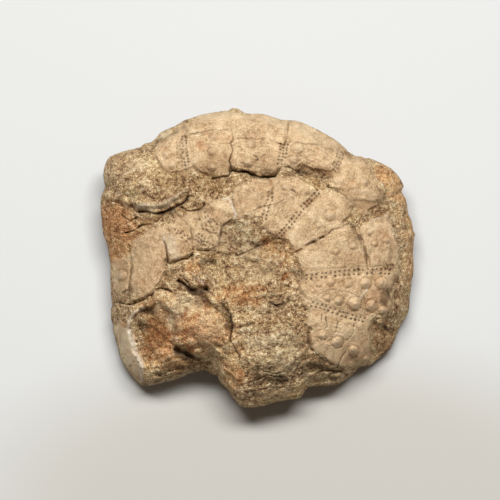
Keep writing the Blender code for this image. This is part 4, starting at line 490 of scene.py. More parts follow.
# What a user would change on the rock
urchin = {
    # Height of the widest level by direction, in degrees anticlockwise from +X
    "rimLevels": [
        (-180, 7.0), (-165, 5.8), (-150, 4.0), (-135, 2.8), (-120, 4.4), (-108, 8.4), (-95, 10.0),
        (-80, 9.2), (-65, 7.4), (-50, 3.6), (-35, 2.2), (-20, 3.2), (0, 5.6), (25, 8.6),
        (50, 11.0), (90, 12.4), (125, 11.6), (150, 9.8)],
    "rimLevelTurn": math.radians(12),   # turn to each side over which the levels are averaged
    "crownHeight": 24.0,
    "crownRounding": 0.57,
    "farFullness": 2.45,          # how square the crown is on the far and the near side
    "nearFullness": 2.9,
    "nearDirection": math.radians(-85),
    "flatShare": 0.44,            # share of the underside that lies flat
    "underRounding": 1.75,
    "underSwell": [(9.0, 0.88), (4.5, 0.528)],  # soft lumps of the underside: size, rise
    "sideWear": 1.1,
    "sideWearSize": 6.5,
    "sideWearFade": 5.0,
    "sideWearFrom": 0.68, "sideWearReach": 0.24,  # share of the radius where it starts, and its growth
    "calmTurn": math.radians(13),       # the crown follows the outline averaged over this turn
    "calmTo": 0.55, "calmReach": 0.42,  # up to this share of the radius, and less over this much more
    "rimFade": 0.035,             # share of the radius over which the relief dies out at the rim
    "edgeWobble": [(2.3, 0.24), (0.8, 0.13)],   # raggedness of plate edges and cracks: size, shift
    "patchWobble": [(2.6, 0.9), (0.9, 0.35)],   # raggedness of coloured patches
    "veilWobble": [(2.9, 1.0), (1.0, 0.6)],     # raggedness of the plates' own colour
    "plateEdge": 0.45,
    "plateBulge": 0.3,
    "plateBulgeReach": 3.0,
    "plateVeil": (0.8, 1.2),      # how raggedly and how softly the colour of a plate ends
    "shellVeil": (1.1, 1.4),
    "veilPast": 0.4,              # how far it reaches past the edge, as a share of its softness
    "seamReach": 1.1, "seamShade": 1.6,   # width of a suture beside an edge, and its darkness
    "wrinkleGap": 0.8, "wrinkleRise": 0.08,
    "wrinkleBend": 4.0, "wrinkleBendSize": 1.7,
    "plateGrain": [(2.6, 0.16), (1.2, 0.13), (0.62, 0.11)],  # unevenness of the plates: size, rise
    "ribRagged": 0.35,
    "crackRagged": 0.5, "crackRaggedSizes": (1.3, 2.1),  # lengths over which width and depth change
    "crackFloor": 0.62, "crackFloorRagged": 0.6,         # share of a crack's width that gets painted shade
    "crackDark": (0.35, 0.4),     # least painted shade, and what a millimetre of depth adds
    "hairlineWiden": 0.06, "hairlineFloorWiden": 0.04, "hairlineDark": 0.6,
    "poreRadius": 0.3,
    "poreDepth": 0.4,
    "poreShare": 0.94,            # share of the pores that are open
    "poreStray": (0.27, 0.18),    # how far pores stray, and how much less in the darkest rows
    "singlePoreDark": 0.7,
    "poreChannel": (0.9, 0.12),   # half width and depth of the hollow under a row
    "porePair": [(-0.5, 0.0), (0.5, 0.15)],     # places in gaps across and pitches along the row
    "poreTriple": [(-0.5, 0.0), (0.0, 0.1), (0.5, 0.0)],
    "tripleFrom": 1.5,            # gap from which a row has three pores abreast
    "bossRise": 0.62,
    "bossShape": 0.7,
    "mamelonRise": 0.22, "mamelonShare": 0.6,
    "areoleWidth": 0.55,
    "areoleDepth": 0.22,
    "areoleShade": 0.38, "areoleShadeMost": 0.55,
    "haloFrom": 0.75,             # tubercles above this radius have a fainter second ring
    "haloReach": 1.15,
    "haloWidth": 0.45,
    "haloDepth": 0.08,
    "swellSize": 4.2, "swellRise": 0.55,
    "lumpSize": 1.9, "lumpRise": 0.34,
    "plateShare": 0.22,           # share of that roughness that reaches the plates
    "creases": [(3.4, 0.45, 0.12), (1.5, 0.24, 0.14)],  # lumps between creases: size, rise, and strength of the painted light and shade they give
    "clods": [(0.85, 0.22, 0.34), (0.5, 0.12, 0.30)],   # finer unevenness of bare rock, the same way
    "pitSize": 2.3, "pitWidth": 0.34, "pitDepth": 0.55,
    "sandGrain": 0.6, "sandGrainRise": 0.12,
    "patchEnd": 1.15, "patchFade": 0.6,   # where a patch ends and how softly, in its own radii
    "whiteRagged": 0.8,           # how far white edges come and go on their way
    "hiddenStain": 0.7,           # strength of the orange stains on the underside
    "spacing": 0.27,              # distance of the surface points
    "detailSpacing": 0.13,        # the same along cracks
    "underSpacing": 0.95,         # the same on the underside
    "spacingStray": 0.16,         # disorder of the points, as a share of their distance
    "rimPoints": 760,
    "upperRings": (10, 0.0016, 1.75),   # rings of points inside the rim: count, gap, growth
    "lowerRings": (11, 0.003, 1.7),
    "upperFill": 0.905, "lowerFill": 0.81,      # shares of the radius at which the rings take over
}


def smoothStep(value):
    share = np.clip(value, 0.0, 1.0)
    return share * share * (3.0 - 2.0 * share)


# The large uneven factors scatter the values of neighbouring places
def latticeValue(column, row, layer, seed):
    wave = np.sin(column * 127.1 + row * 311.7 + layer * 74.7 + seed * 19.19) * 43758.5453
    return wave - np.floor(wave)


# Soft random swell between -1 and 1 with lumps of the given size
def rough(x, y, z, size, seed):
    place = [x / size, y / size, z / size]
    base = [np.floor(axis) for axis in place]
    share = [smoothStep(axis - low) for axis, low in zip(place, base)]
    total = np.zeros_like(x)
    for corner in range(8):
        step = [(corner >> bit) & 1 for bit in range(3)]
        weight = np.ones_like(x)
        for axis in range(3):
            weight = weight * (share[axis] if step[axis] else 1.0 - share[axis])
        total += weight * latticeValue(base[0] + step[0], base[1] + step[1], base[2] + step[2], seed)
    return total * 2.0 - 1.0


# Adds random swells of several sizes to values that belong to plan places
def wobbled(values, x, y, swells, seed):
    flat = np.zeros_like(x)
    for step, (size, shift) in enumerate(swells):
        values = values + shift * rough(x, y, flat, size, seed + step)
    return values


# Rounded lumps parted by creases, turned so that layers of them don't line up
def creased(x, y, z, size, seed):
    cosine, sine = math.cos(seed), math.sin(seed)
    return 2.2 * np.abs(rough(x * cosine - y * sine, x * sine + y * cosine, z, size, seed)) - 0.7


# Distance to the nearest grain centre, in grain sizes
def grainDistance(x, y, z, size, seed):
    place = [x / size, y / size, z / size]
    base = [np.floor(axis) for axis in place]
    nearest = np.full_like(x, np.inf)
    for step in range(27):
        cell = [base[0] + step % 3 - 1, base[1] + step // 3 % 3 - 1, base[2] + step // 9 - 1]
        square = np.zeros_like(x)
        for axis in range(3):
            square += (place[axis] - cell[axis] - latticeValue(*cell, seed + 1.3 * axis)) ** 2
        nearest = np.minimum(nearest, square)
    return np.sqrt(nearest)


outlineCorners = np.array(outline)
outlineAngles = np.arctan2(outlineCorners[:, 1], outlineCorners[:, 0])
outlineOrder = np.argsort(outlineAngles)
outlineAngles = outlineAngles[outlineOrder]
outlineRadii = np.hypot(outlineCorners[:, 0], outlineCorners[:, 1])[outlineOrder]


def outlineRadius(angle):
    return np.interp(angle, outlineAngles, outlineRadii, period=2.0 * math.pi)


calmAngles = np.linspace(-math.pi, math.pi, 361)
calmTurns = np.linspace(-urchin["calmTurn"], urchin["calmTurn"], 27)
calmRadii = np.mean([outlineRadius(calmAngles + turn) for turn in calmTurns], axis=0)


# 0 at the middle of the rock and 1 on its outline
def outwardShare(x, y):
    return np.hypot(x, y) / outlineRadius(np.arctan2(y, x))


# The same, but calm towards the middle
def shapeShare(x, y):
    share = outwardShare(x, y)
    calm = np.hypot(x, y) / np.interp(np.arctan2(y, x), calmAngles, calmRadii)
    sharpness = smoothStep((share - urchin["calmTo"]) / urchin["calmReach"])
    return np.clip(calm + (share - calm) * sharpness, 0.0, 1.0)


def rimHeight(angle):
    directions, levels = np.transpose(urchin["rimLevels"])
    directions = np.radians(directions)
    turns = np.linspace(-urchin["rimLevelTurn"], urchin["rimLevelTurn"], 9)
    around = [np.interp(angle + turn, directions, levels, period=2.0 * math.pi) for turn in turns]
    return np.mean(around, axis=0)


def crown(x, y):
    angle = np.arctan2(y, x)
    nearness = np.clip(np.cos(angle - urchin["nearDirection"]), 0.0, 1.0)
    fullness = urchin["farFullness"] + (urchin["nearFullness"] - urchin["farFullness"]) * nearness
    rim = rimHeight(angle)
    dome = (1.0 - shapeShare(x, y) ** fullness) ** urchin["crownRounding"]
    return rim + (urchin["crownHeight"] - rim) * dome


def courseDistance(x, y, course):
    nearest = np.full_like(x, np.inf)
    for (x0, y0), (x1, y1) in zip(course, course[1:]):
        runX, runY = x1 - x0, y1 - y0
        along = np.clip(((x - x0) * runX + (y - y0) * runY) / (runX * runX + runY * runY), 0.0, 1.0)
        nearest = np.minimum(nearest, np.hypot(x - x0 - along * runX, y - y0 - along * runY))
    return nearest


# Distance to the edge of an area, positive inside it
def insideDepth(x, y, corners):
    ring = corners + corners[:1]
    inside = np.zeros(x.shape, dtype=bool)
    for (x0, y0), (x1, y1) in zip(ring, ring[1:]):
        if y0 == y1:
            continue
        crosses = (y0 > y) != (y1 > y)
        inside ^= crosses & (x < x0 + (y - y0) * (x1 - x0) / (y1 - y0))
    return np.where(inside, 1.0, -1.0) * courseDistance(x, y, ring)


# Picks the points near a shape, so that far ones cost nothing
def nearby(x, y, corners, margin):
    low, high = np.min(corners, axis=0) - margin, np.max(corners, axis=0) + margin
    return np.flatnonzero((x > low[0]) & (x < high[0]) & (y > low[1]) & (y < high[1]))


def raiseTo(values, near, least):
    values[near] = np.maximum(values[near], least)


# A course that deepens a height field; ragged ones change in width and depth on their way
def deepenCourse(x, y, halfWidth, depth, course, deepest, ragged=0.0):
    near = nearby(x, y, course, 1.6 * halfWidth)
    width, deep = halfWidth, depth
    if ragged:
        flat = np.zeros_like(x[near])
        widthSize, depthSize = urchin["crackRaggedSizes"]
        width = halfWidth * (1.0 + ragged * rough(x[near], y[near], flat, widthSize, 15.0))
        deep = depth * (1.0 + ragged * rough(x[near], y[near], flat, depthSize, 16.0))
    share = 1.0 - smoothStep(courseDistance(x[near], y[near], course) / width)
    raiseTo(deepest, near, deep * share)


# Distance from the middle of a turned oval, 1 on its edge
def ovalDistance(x, y, middleX, middleY, length, width, turn):
    cosine, sine = math.cos(math.radians(turn)), math.sin(math.radians(turn))
    along = ((x - middleX) * cosine + (y - middleY) * sine) / length
    across = ((y - middleY) * cosine - (x - middleX) * sine) / width
    return np.hypot(along, across)


# Straight legs of a course: start, length and direction
def courseLegs(course):
    for (x0, y0), (x1, y1) in zip(course, course[1:]):
        length = math.hypot(x1 - x0, y1 - y0)
        yield x0, y0, length, (x1 - x0) / length, (y1 - y0) / length


def porePlaces():
    chance = random.Random(5)
    places = [(x, y, urchin["poreRadius"] * chance.uniform(0.75, 1.0), urchin["singlePoreDark"])
              for x, y in singlePores]
    for darkness, pitch, gap, course in poreRows:
        abreast = urchin["porePair"] if gap < urchin["tripleFrom"] else urchin["poreTriple"]
        stray = urchin["poreStray"][0] - urchin["poreStray"][1] * darkness
        left = 0.3 * pitch
        for x0, y0, length, alongX, alongY in courseLegs(course):
            while left < length:
                for side, lead in abreast:
                    offset = side * gap + chance.uniform(-stray, stray)
                    ahead = left + lead * pitch + chance.uniform(-stray, stray)
                    radius = urchin["poreRadius"] * chance.uniform(0.7, 1.15)
                    if chance.random() < urchin["poreShare"]:
                        places.append((x0 + alongX * ahead - alongY * offset,
                                       y0 + alongY * ahead + alongX * offset, radius,
                                       darkness * chance.uniform(0.7, 1.0)))
                left += pitch * chance.uniform(0.88, 1.12)
            left -= length
    return places


# Plates and the stretches of test they belong to, with their sutures, wrinkles and colour
def raisePlates(cover, x, y, wideX, wideY):
    joined, flat = np.zeros_like(x), np.zeros_like(x)
    bend = urchin["wrinkleBend"] * rough(x, y, flat, urchin["wrinkleBendSize"], 33.0)
    veil = wobbled(flat, x, y, urchin["veilWobble"], 35.0)

    def colour(near, depth, ragged, soft):
        raiseTo(cover["shell"], near, smoothStep((depth + ragged * veil[near]) / soft + urchin["veilPast"]))

    for lift, corners in plates.values():
        near = nearby(x, y, corners, 1.2)
        depth = insideDepth(wideX[near], wideY[near], corners)
        share = smoothStep(depth / urchin["plateEdge"] + 0.5)
        bulge = urchin["plateBulge"] * smoothStep(depth / urchin["plateBulgeReach"])
        raiseTo(cover["plate"], near, share)
        raiseTo(cover["rise"], near, share * lift + bulge)
        colour(near, depth, *urchin["plateVeil"])
        joined[near] += smoothStep(depth / urchin["seamReach"] + 1.0)
        waves = np.sin(2.0 * math.pi * depth / urchin["wrinkleGap"] + bend[near])
        cover["wrinkle"][near] += share * waves
    between = np.clip(urchin["seamShade"] * (joined - 1.0), 0.0, 1.0)
    cover["seamAndShade"] = between * (1.0 - cover["plate"])
    for lift, edge, corners in shells.values():
        near = nearby(x, y, corners, 1.0)
        depth = insideDepth(wideX[near], wideY[near], corners)
        share = smoothStep(depth / edge + 0.5)
        raiseTo(cover["plate"], near, share)
        colour(near, depth, *urchin["shellVeil"])
        cover["rise"][near] += lift * share


# Masses of bare rock that stand up or lie lower, and the pale ribs
def raiseMasses(cover, x, y, wideX, wideY):
    for lift, edge, corners in masses.values():
        near = nearby(x, y, corners, 2.0)
        depth = insideDepth(wideX[near], wideY[near], corners)
        cover["rise"][near] += lift * smoothStep(depth / edge + 0.5)
    for halfWidth, height, course in ribs.values():
        rib = np.zeros_like(x)
        deepenCourse(wideX, wideY, halfWidth, height, course, rib, urchin["ribRagged"])
        cover["rise"] += rib


# Cracks, hairlines and pores, each with a dark floor of painted shade; in cracks it grows with depth
def cutCracks(cover, x, y, wideX, wideY):
    deepest = np.zeros_like(x)
    ragged, floorRagged = urchin["crackRagged"], urchin["crackFloorRagged"]
    leastDark, moreDark = urchin["crackDark"]
    for halfWidth, depth, course in cracks.values():
        floorWidth, dark = urchin["crackFloor"] * halfWidth, min(1.0, leastDark + moreDark * depth)
        deepenCourse(wideX, wideY, halfWidth, depth, course, deepest, ragged)
        deepenCourse(wideX, wideY, floorWidth, dark, course, cover["crack"], floorRagged)
    for halfWidth, depth, course in hairlines:
        width, floorWidth = halfWidth + urchin["hairlineWiden"], halfWidth + urchin["hairlineFloorWiden"]
        deepenCourse(wideX, wideY, width, depth, course, deepest, ragged)
        deepenCourse(wideX, wideY, floorWidth, urchin["hairlineDark"], course, cover["crack"], floorRagged)
    for *_, course in poreRows:
        deepenCourse(x, y, *urchin["poreChannel"], course, deepest)
    for poreX, poreY, radius, darkness in porePlaces():
        near = nearby(x, y, [(poreX, poreY)], 0.8)
        share = 1.0 - smoothStep(np.hypot(x[near] - poreX, y[near] - poreY) / radius - 0.5)
        raiseTo(cover["pore"], near, darkness * share)
    cover["rise"] -= np.maximum(deepest, urchin["poreDepth"] * cover["pore"])


# Tubercles: a round boss with a smaller knob on top, in a sunken ring
def raiseTubercles(cover, x, y):
    halfRing = 0.5 * urchin["areoleWidth"]
    for bossX, bossY, radius in tubercles:
        distance = np.hypot(x - bossX, y - bossY)
        inner = np.clip(1.0 - (distance / radius) ** 2, 0.0, 1.0)
        knob = 1.0 - smoothStep(distance / (urchin["mamelonShare"] * radius))
        ring = 1.0 - smoothStep(np.abs(distance - radius - halfRing) / halfRing)
        cover["rise"] += urchin["bossRise"] * radius * inner ** urchin["bossShape"]
        cover["rise"] += urchin["mamelonRise"] * radius * knob
        cover["rise"] -= urchin["areoleDepth"] * ring
        if radius > urchin["haloFrom"]:
            halo = np.abs(distance - radius - urchin["haloReach"]) / urchin["haloWidth"]
            cover["rise"] -= urchin["haloDepth"] * (1.0 - smoothStep(halo))
        # painted shade in the sunken ring, laid into the suture colour
        shade = min(urchin["areoleShadeMost"], urchin["areoleShade"] * radius)
        cover["seamAndShade"] = np.maximum(cover["seamAndShade"], shade * ring)
        cover["boss"] = np.maximum(cover["boss"], inner)


# Lumps, creases and pits of the bare rock, and how high each place stands in them, which the material turns
# into painted shade in creases and pits and painted light on lumps
def rockRelief(x, y, z):
    total, high = np.zeros_like(x), np.zeros_like(x)
    for size, lift, tone in urchin["creases"]:
        layer = creased(x, y, z, size, 3.0 * size)
        total += lift * layer
        high += tone * layer
    for size, lift, tone in urchin["clods"]:
        layer = rough(0.8 * x - 0.6 * y, 0.6 * x + 0.8 * y, z, size, 7.0 * size)
        total += lift * layer
        high += tone * layer
    pit = smoothStep(1.0 - grainDistance(x, y, z, urchin["pitSize"], 44.0) / urchin["pitWidth"])
    pit = pit * smoothStep(2.5 * rough(x, y, z, 4.0, 45.0))
    return total - urchin["pitDepth"] * pit, 0.5 + high - 0.5 * pit


# Fine unevenness and wrinkles of the plates
def plateRelief(x, y, z, wrinkle):
    marks = smoothStep(0.35 + 1.6 * rough(x, y, np.zeros_like(x), 5.0, 34.0))
    total = sum(lift * rough(x, y, z, size, 10.0 * size) for size, lift in urchin["plateGrain"])
    return total + urchin["wrinkleRise"] * wrinkle * marks


# Height of the upper side and what covers it, at plan points
def upperSide(x, y):
    wideX = wobbled(x, x, y, urchin["edgeWobble"], 31.0)
    wideY = wobbled(y, x, y, urchin["edgeWobble"], 41.0)
    base = crown(x, y)
    names = ("plate", "shell", "crack", "pore", "boss", "seamAndShade", "rise", "wrinkle")
    cover = {name: np.zeros_like(x) for name in names}
    raisePlates(cover, x, y, wideX, wideY)
    raiseMasses(cover, x, y, wideX, wideY)
    cutCracks(cover, x, y, wideX, wideY)
    raiseTubercles(cover, x, y)
    rise, plate = cover.pop("rise"), cover["plate"]
    for *oval, height in lumps:
        rise += height * smoothStep(1.0 - ovalDistance(x, y, *oval))
    swell = urchin["swellRise"] * rough(x, y, base, urchin["swellSize"], 3.0)
    swell += urchin["lumpRise"] * rough(x, y, base, urchin["lumpSize"], 8.0)
    rise += swell * (1.0 - (1.0 - urchin["plateShare"]) * plate)
    bareRelief, high = rockRelief(x, y, base)
    shellRelief = plateRelief(x, y, base, cover.pop("wrinkle"))
    rise += bareRelief * (1.0 - plate) + shellRelief * plate
    rise *= smoothStep((1.0 - outwardShare(x, y)) / urchin["rimFade"])
    # how high each place stands in the fine relief, for painted light on tops and painted shade in dips
    cover["high"] = high * (1.0 - plate) + (0.5 + 2.5 * shellRelief) * plate
    return base + rise, cover


def lowerSide(x, y):
    share = np.clip((shapeShare(x, y) - urchin["flatShare"]) / (1.0 - urchin["flatShare"]), 0.0, 1.0)
    climb = 1.0 - (1.0 - share ** urchin["underRounding"]) ** (1.0 / urchin["underRounding"])
    base = rimHeight(np.arctan2(y, x)) * climb
    swell = np.zeros_like(x)
    for step, (size, lift) in enumerate(urchin["underSwell"]):
        swell += lift * rough(x, y, base, size, 5.0 + step)
    window = smoothStep(share / 0.35) * smoothStep((1.0 - share) / 0.12)
    return np.maximum(base + swell * window, 0.15 * smoothStep(share / 0.1))


# Wears the side back above and below the widest level
def wornPlaces(x, y, z):
    angle = np.arctan2(y, x)
    wear = 0.5 + 0.5 * rough(x, y, z, urchin["sideWearSize"], 12.0)
    wear = wear * smoothStep(np.abs(z - rimHeight(angle)) / urchin["sideWearFade"])
    outward = smoothStep((outwardShare(x, y) - urchin["sideWearFrom"]) / urchin["sideWearReach"])
    wear = wear * outward * urchin["sideWear"]
    return x - np.cos(angle) * wear, y - np.sin(angle) * wear


def ringPlaces(shares, count):
    rings = []
    for place, share in enumerate(shares):
        angles = (np.arange(count) + 0.5 * (place % 2)) * 2.0 * math.pi / count - math.pi
        radii = outlineRadius(angles) * share
        rings.append(np.column_stack([np.cos(angles) * radii, np.sin(angles) * radii]))
    return np.vstack(rings)


def ringShares(rings, gap, growth):
    return [1.0 - gap * step ** growth for step in range(1, rings + 1)]


# Rows of points with a little disorder, as far out as the limit
def openPlaces(spacing, limit, seed):
    chance = np.random.default_rng(seed)
    reach, stray = 40.0, urchin["spacingStray"]
    rowGap = spacing * math.sqrt(0.75)
    rows, columns = int(reach / rowGap), int(reach / spacing)
    row, column = np.meshgrid(np.arange(-rows, rows + 1), np.arange(-columns, columns + 1), indexing="ij")
    x = (column + 0.5 * (row % 2) + chance.uniform(-stray, stray, row.shape)) * spacing
    y = (row + chance.uniform(-stray, stray, row.shape)) * rowGap
    places = np.column_stack([x.ravel(), y.ravel()])
    return places[outwardShare(places[:, 0], places[:, 1]) < limit]


def circlePlaces(x, y, radius, count):
    angles = [2.0 * math.pi * step / count for step in range(count)]
    return [(x + radius * math.cos(angle), y + radius * math.sin(angle)) for angle in angles]


# Further places on pores, tubercles and cracks, so that these stay crisp
def detailPlaces():
    places = []
    for x, y, radius, _ in porePlaces():
        places.append((x, y))
        for reach, count in ((0.6, 6), (1.45, 8)):
            places += circlePlaces(x, y, reach * radius, count)
    for x, y, radius in tubercles:
        for reach in (0.3, 0.62, 0.86, 1.0, 1.18):
            places += circlePlaces(x, y, reach * radius, int(10 + 14 * reach * radius))
    gap = urchin["detailSpacing"]
    for halfWidth, _, course in list(cracks.values()) + hairlines:
        for x0, y0, length, alongX, alongY in courseLegs(course):
            for step in range(int(length / gap)):
                for share in (-0.75, 0.0, 0.75) if step % 2 else (-0.35, 0.35):
                    offset = share * halfWidth
                    places.append((x0 + alongX * step * gap - alongY * offset,
                                   y0 + alongY * step * gap + alongX * offset))
    places = np.array(places)
    return places[outwardShare(places[:, 0], places[:, 1]) < 0.95]


# Triangles between the rim and the points inside it
def joinPlaces(rim, inner):
    count = len(rim)
    places = [Vector(place) for place in np.vstack([rim, inner])]
    edges = [(index, (index + 1) % count) for index in range(count)]
    return [tuple(face) for face in delaunay_2d_cdt(places, edges, [], 1, 1.0e-7)[2]]


# The rim also holds the four outermost corners, so that the rock keeps its full size
def rimPlaces(count):
    ends = [farthest(outlineCorners[:, axis]) for axis in (0, 1) for farthest in (np.argmin, np.argmax)]
    rim = np.vstack([ringPlaces([1.0], count), outlineCorners[ends]])
    return rim[np.argsort(np.arctan2(rim[:, 1], rim[:, 0]))]


def buildRock():
    coarse = 1.0
    count = int(urchin["rimPoints"] / coarse)
    rim = rimPlaces(count)
    upper = np.vstack([ringPlaces(ringShares(*urchin["upperRings"]), count),
                       openPlaces(urchin["spacing"] * coarse, urchin["upperFill"], 7), detailPlaces()])
    lower = np.vstack([ringPlaces(ringShares(*urchin["lowerRings"]), count // 2),
                       openPlaces(urchin["underSpacing"] * coarse, urchin["lowerFill"], 8)])
    upperZ, cover = upperSide(upper[:, 0], upper[:, 1])
    lowerZ = lowerSide(lower[:, 0], lower[:, 1])
    corners = np.vstack([
        np.column_stack([rim, rimHeight(np.arctan2(rim[:, 1], rim[:, 0]))]),
        np.column_stack([*wornPlaces(upper[:, 0], upper[:, 1], upperZ), upperZ]),
        np.column_stack([*wornPlaces(lower[:, 0], lower[:, 1], lowerZ), lowerZ]),
    ])
    upperFaces = joinPlaces(rim, upper)
    lowerFaces = [
        tuple(index if index < len(rim) else index + len(upper) for index in reversed(face))
        for face in joinPlaces(rim, lower)
    ]
    for name, values in cover.items():
        cover[name] = np.concatenate([np.zeros(len(rim)), values, np.zeros(len(lower))])
    onTop = np.concatenate([np.ones(len(rim) + len(upper)), np.zeros(len(lower))])
    return corners, np.vstack([rim, upper, lower]), upperFaces + lowerFaces, cover, onTop


# Sand grains that stand along the surface's own direction
def addGrain(mesh, corners, cover):
    normals = np.zeros(len(mesh.vertices) * 3)
    mesh.vertex_normals.foreach_get("vector", normals)
    x, y, z = corners.T
    bare = 1.0 - np.clip(cover["plate"] * (1.0 - cover["crack"]), 0.0, 1.0)
    sand = 0.6 - grainDistance(x, y, z, urchin["sandGrain"], 61.0)
    lying = smoothStep((z - 0.05) / 0.5)
    lift = urchin["sandGrainRise"] * sand * bare * lying
    return corners + normals.reshape(-1, 3) * lift[:, None]


def patchCover(x, y, ovals):
    strongest = np.zeros_like(x)
    for *oval, strength in ovals:
        inward = (urchin["patchEnd"] - ovalDistance(x, y, *oval)) / urchin["patchFade"]
        strongest = np.maximum(strongest, strength * smoothStep(inward))
    return strongest


# Coloured patches, some of them painted shade or painted light, faint stains on the hidden underside, and
# white broken edges with some painted light
def addMarks(cover, plan, z, onTop):
    x, y = plan.T
    wideX = wobbled(x, x, y, urchin["patchWobble"], 91.0)
    wideY = wobbled(y, x, y, urchin["patchWobble"], 93.0)
    for name, ovals in patches.items():
        cover[name] = patchCover(wideX, wideY, ovals) * onTop
    hidden = smoothStep(0.5 + 0.9 * rough(x, y, z, 11.0, 95.0)) * (1.0 - onTop)
    cover["orange"] = cover["orange"] + urchin["hiddenStain"] * hidden
    bendX, bendY = x + 0.3 * (wideX - x), y + 0.3 * (wideY - y)
    breaks = urchin["whiteRagged"] * rough(x, y, np.zeros_like(x), 0.9, 96.0)
    white = np.zeros_like(x)
    for halfWidth, strength, course in whiteLines:
        line = np.zeros_like(x)
        deepenCourse(bendX, bendY, halfWidth, strength, course, line)
        white = np.maximum(white, line * smoothStep(0.3 + strength + breaks))
    cover["white"] = white * onTop


def buildUrchin():
    corners, plan, faces, cover, onTop = buildRock()
    mesh = bpy.data.meshes.new("fossilUrchin")
    mesh.from_pydata(corners.tolist(), [], faces)
    mesh.update()
    corners = addGrain(mesh, corners, cover)
    corners[:, 2] = np.maximum(corners[:, 2], 0.0)
    mesh.vertices.foreach_set("co", (corners * millimetre).ravel())
    mesh.update()
    addMarks(cover, plan, corners[:, 2], onTop)
    for name, values in cover.items():
        layer = mesh.attributes.new(name, "FLOAT", "POINT")
        layer.data.foreach_set("value", np.clip(values, 0.0, 1.0).astype(np.float32))
    mesh.polygons.foreach_set("use_smooth", [True] * len(mesh.polygons))
    rock = bpy.data.objects.new("fossilUrchin", mesh)
    bpy.context.scene.collection.objects.link(rock)
    print("rock", len(mesh.vertices), "points", len(mesh.polygons), "triangles")
    return rock


# Colours of the rock, with those of sand and plates from dark to light, and the look of its grain
finishes = {
    "sand": [(0.0, (0.095, 0.048, 0.024)), (0.22, (0.26, 0.150, 0.075)), (0.45, (0.47, 0.305, 0.160)),
             (0.68, (0.66, 0.465, 0.255)), (0.85, (0.83, 0.655, 0.40)), (1.0, (0.96, 0.84, 0.60))],
    "orange": [(0.0, (0.20, 0.090, 0.040)), (0.22, (0.40, 0.195, 0.080)), (0.45, (0.62, 0.335, 0.145)),
               (0.68, (0.79, 0.490, 0.230)), (0.85, (0.89, 0.650, 0.355)), (1.0, (0.96, 0.800, 0.530))],
    "plate": [(0.0, (0.36, 0.230, 0.125)), (0.3, (0.59, 0.412, 0.236)), (0.6, (0.77, 0.562, 0.340)),
              (0.85, (0.88, 0.690, 0.450)), (1.0, (0.95, 0.810, 0.600))],
    "yellow": (0.98, 0.96, 0.76),
    "rust": (0.60, 0.34, 0.20),
    "grey": (0.62, 0.64, 0.66),
    "dirtAndShade": (0.66, 0.58, 0.50),
    # colour of the painted shade in the dark patches
    "dark": (0.24, 0.20, 0.17),
    "pale": (0.84, 0.69, 0.45),
    "pink": (0.90, 0.74, 0.66),
    "white": (0.90, 0.80, 0.66),
    # painted shade inside cracks and pores
    "crack": (0.028, 0.018, 0.011),
    "seamAndShade": (0.42, 0.33, 0.25),
    "pore": (0.06, 0.035, 0.02),
    "boss": (0.78, 0.60, 0.41),
    "sandScale": 2.3, "dustScale": 4.4,     # grains to a millimetre
    "sandTones": 0.40, "dustTones": 0.40,   # how far grains differ in tone
    "grainEdge": 0.35,            # painted shade that darkens grains towards their edges
    "darkSpecks": (0.84, 0.34),   # dust kinds above the first value are darker by the second
    "paleFlecks": (0.10, 0.16),   # sand kinds below the first value are paler by the second
    "plateSpecks": (0.94, 0.14),  # sand kinds above the first value are dark specks on a plate
    "sandLight": 0.35,
    "mottle": (0.16, 3.0, 0.6),   # random clouds: scale to a millimetre, detail, roughness
    "patchy": (0.75, 5.0, 0.65),
    "speckle": (3.0, 4.0, 0.75),
    "stain": (0.28, 4.0, 0.7),
    "pitting": (1.3, 3.0, 0.7),
    "shine": 0.25,
    "bumpDistance": 0.0003,
}


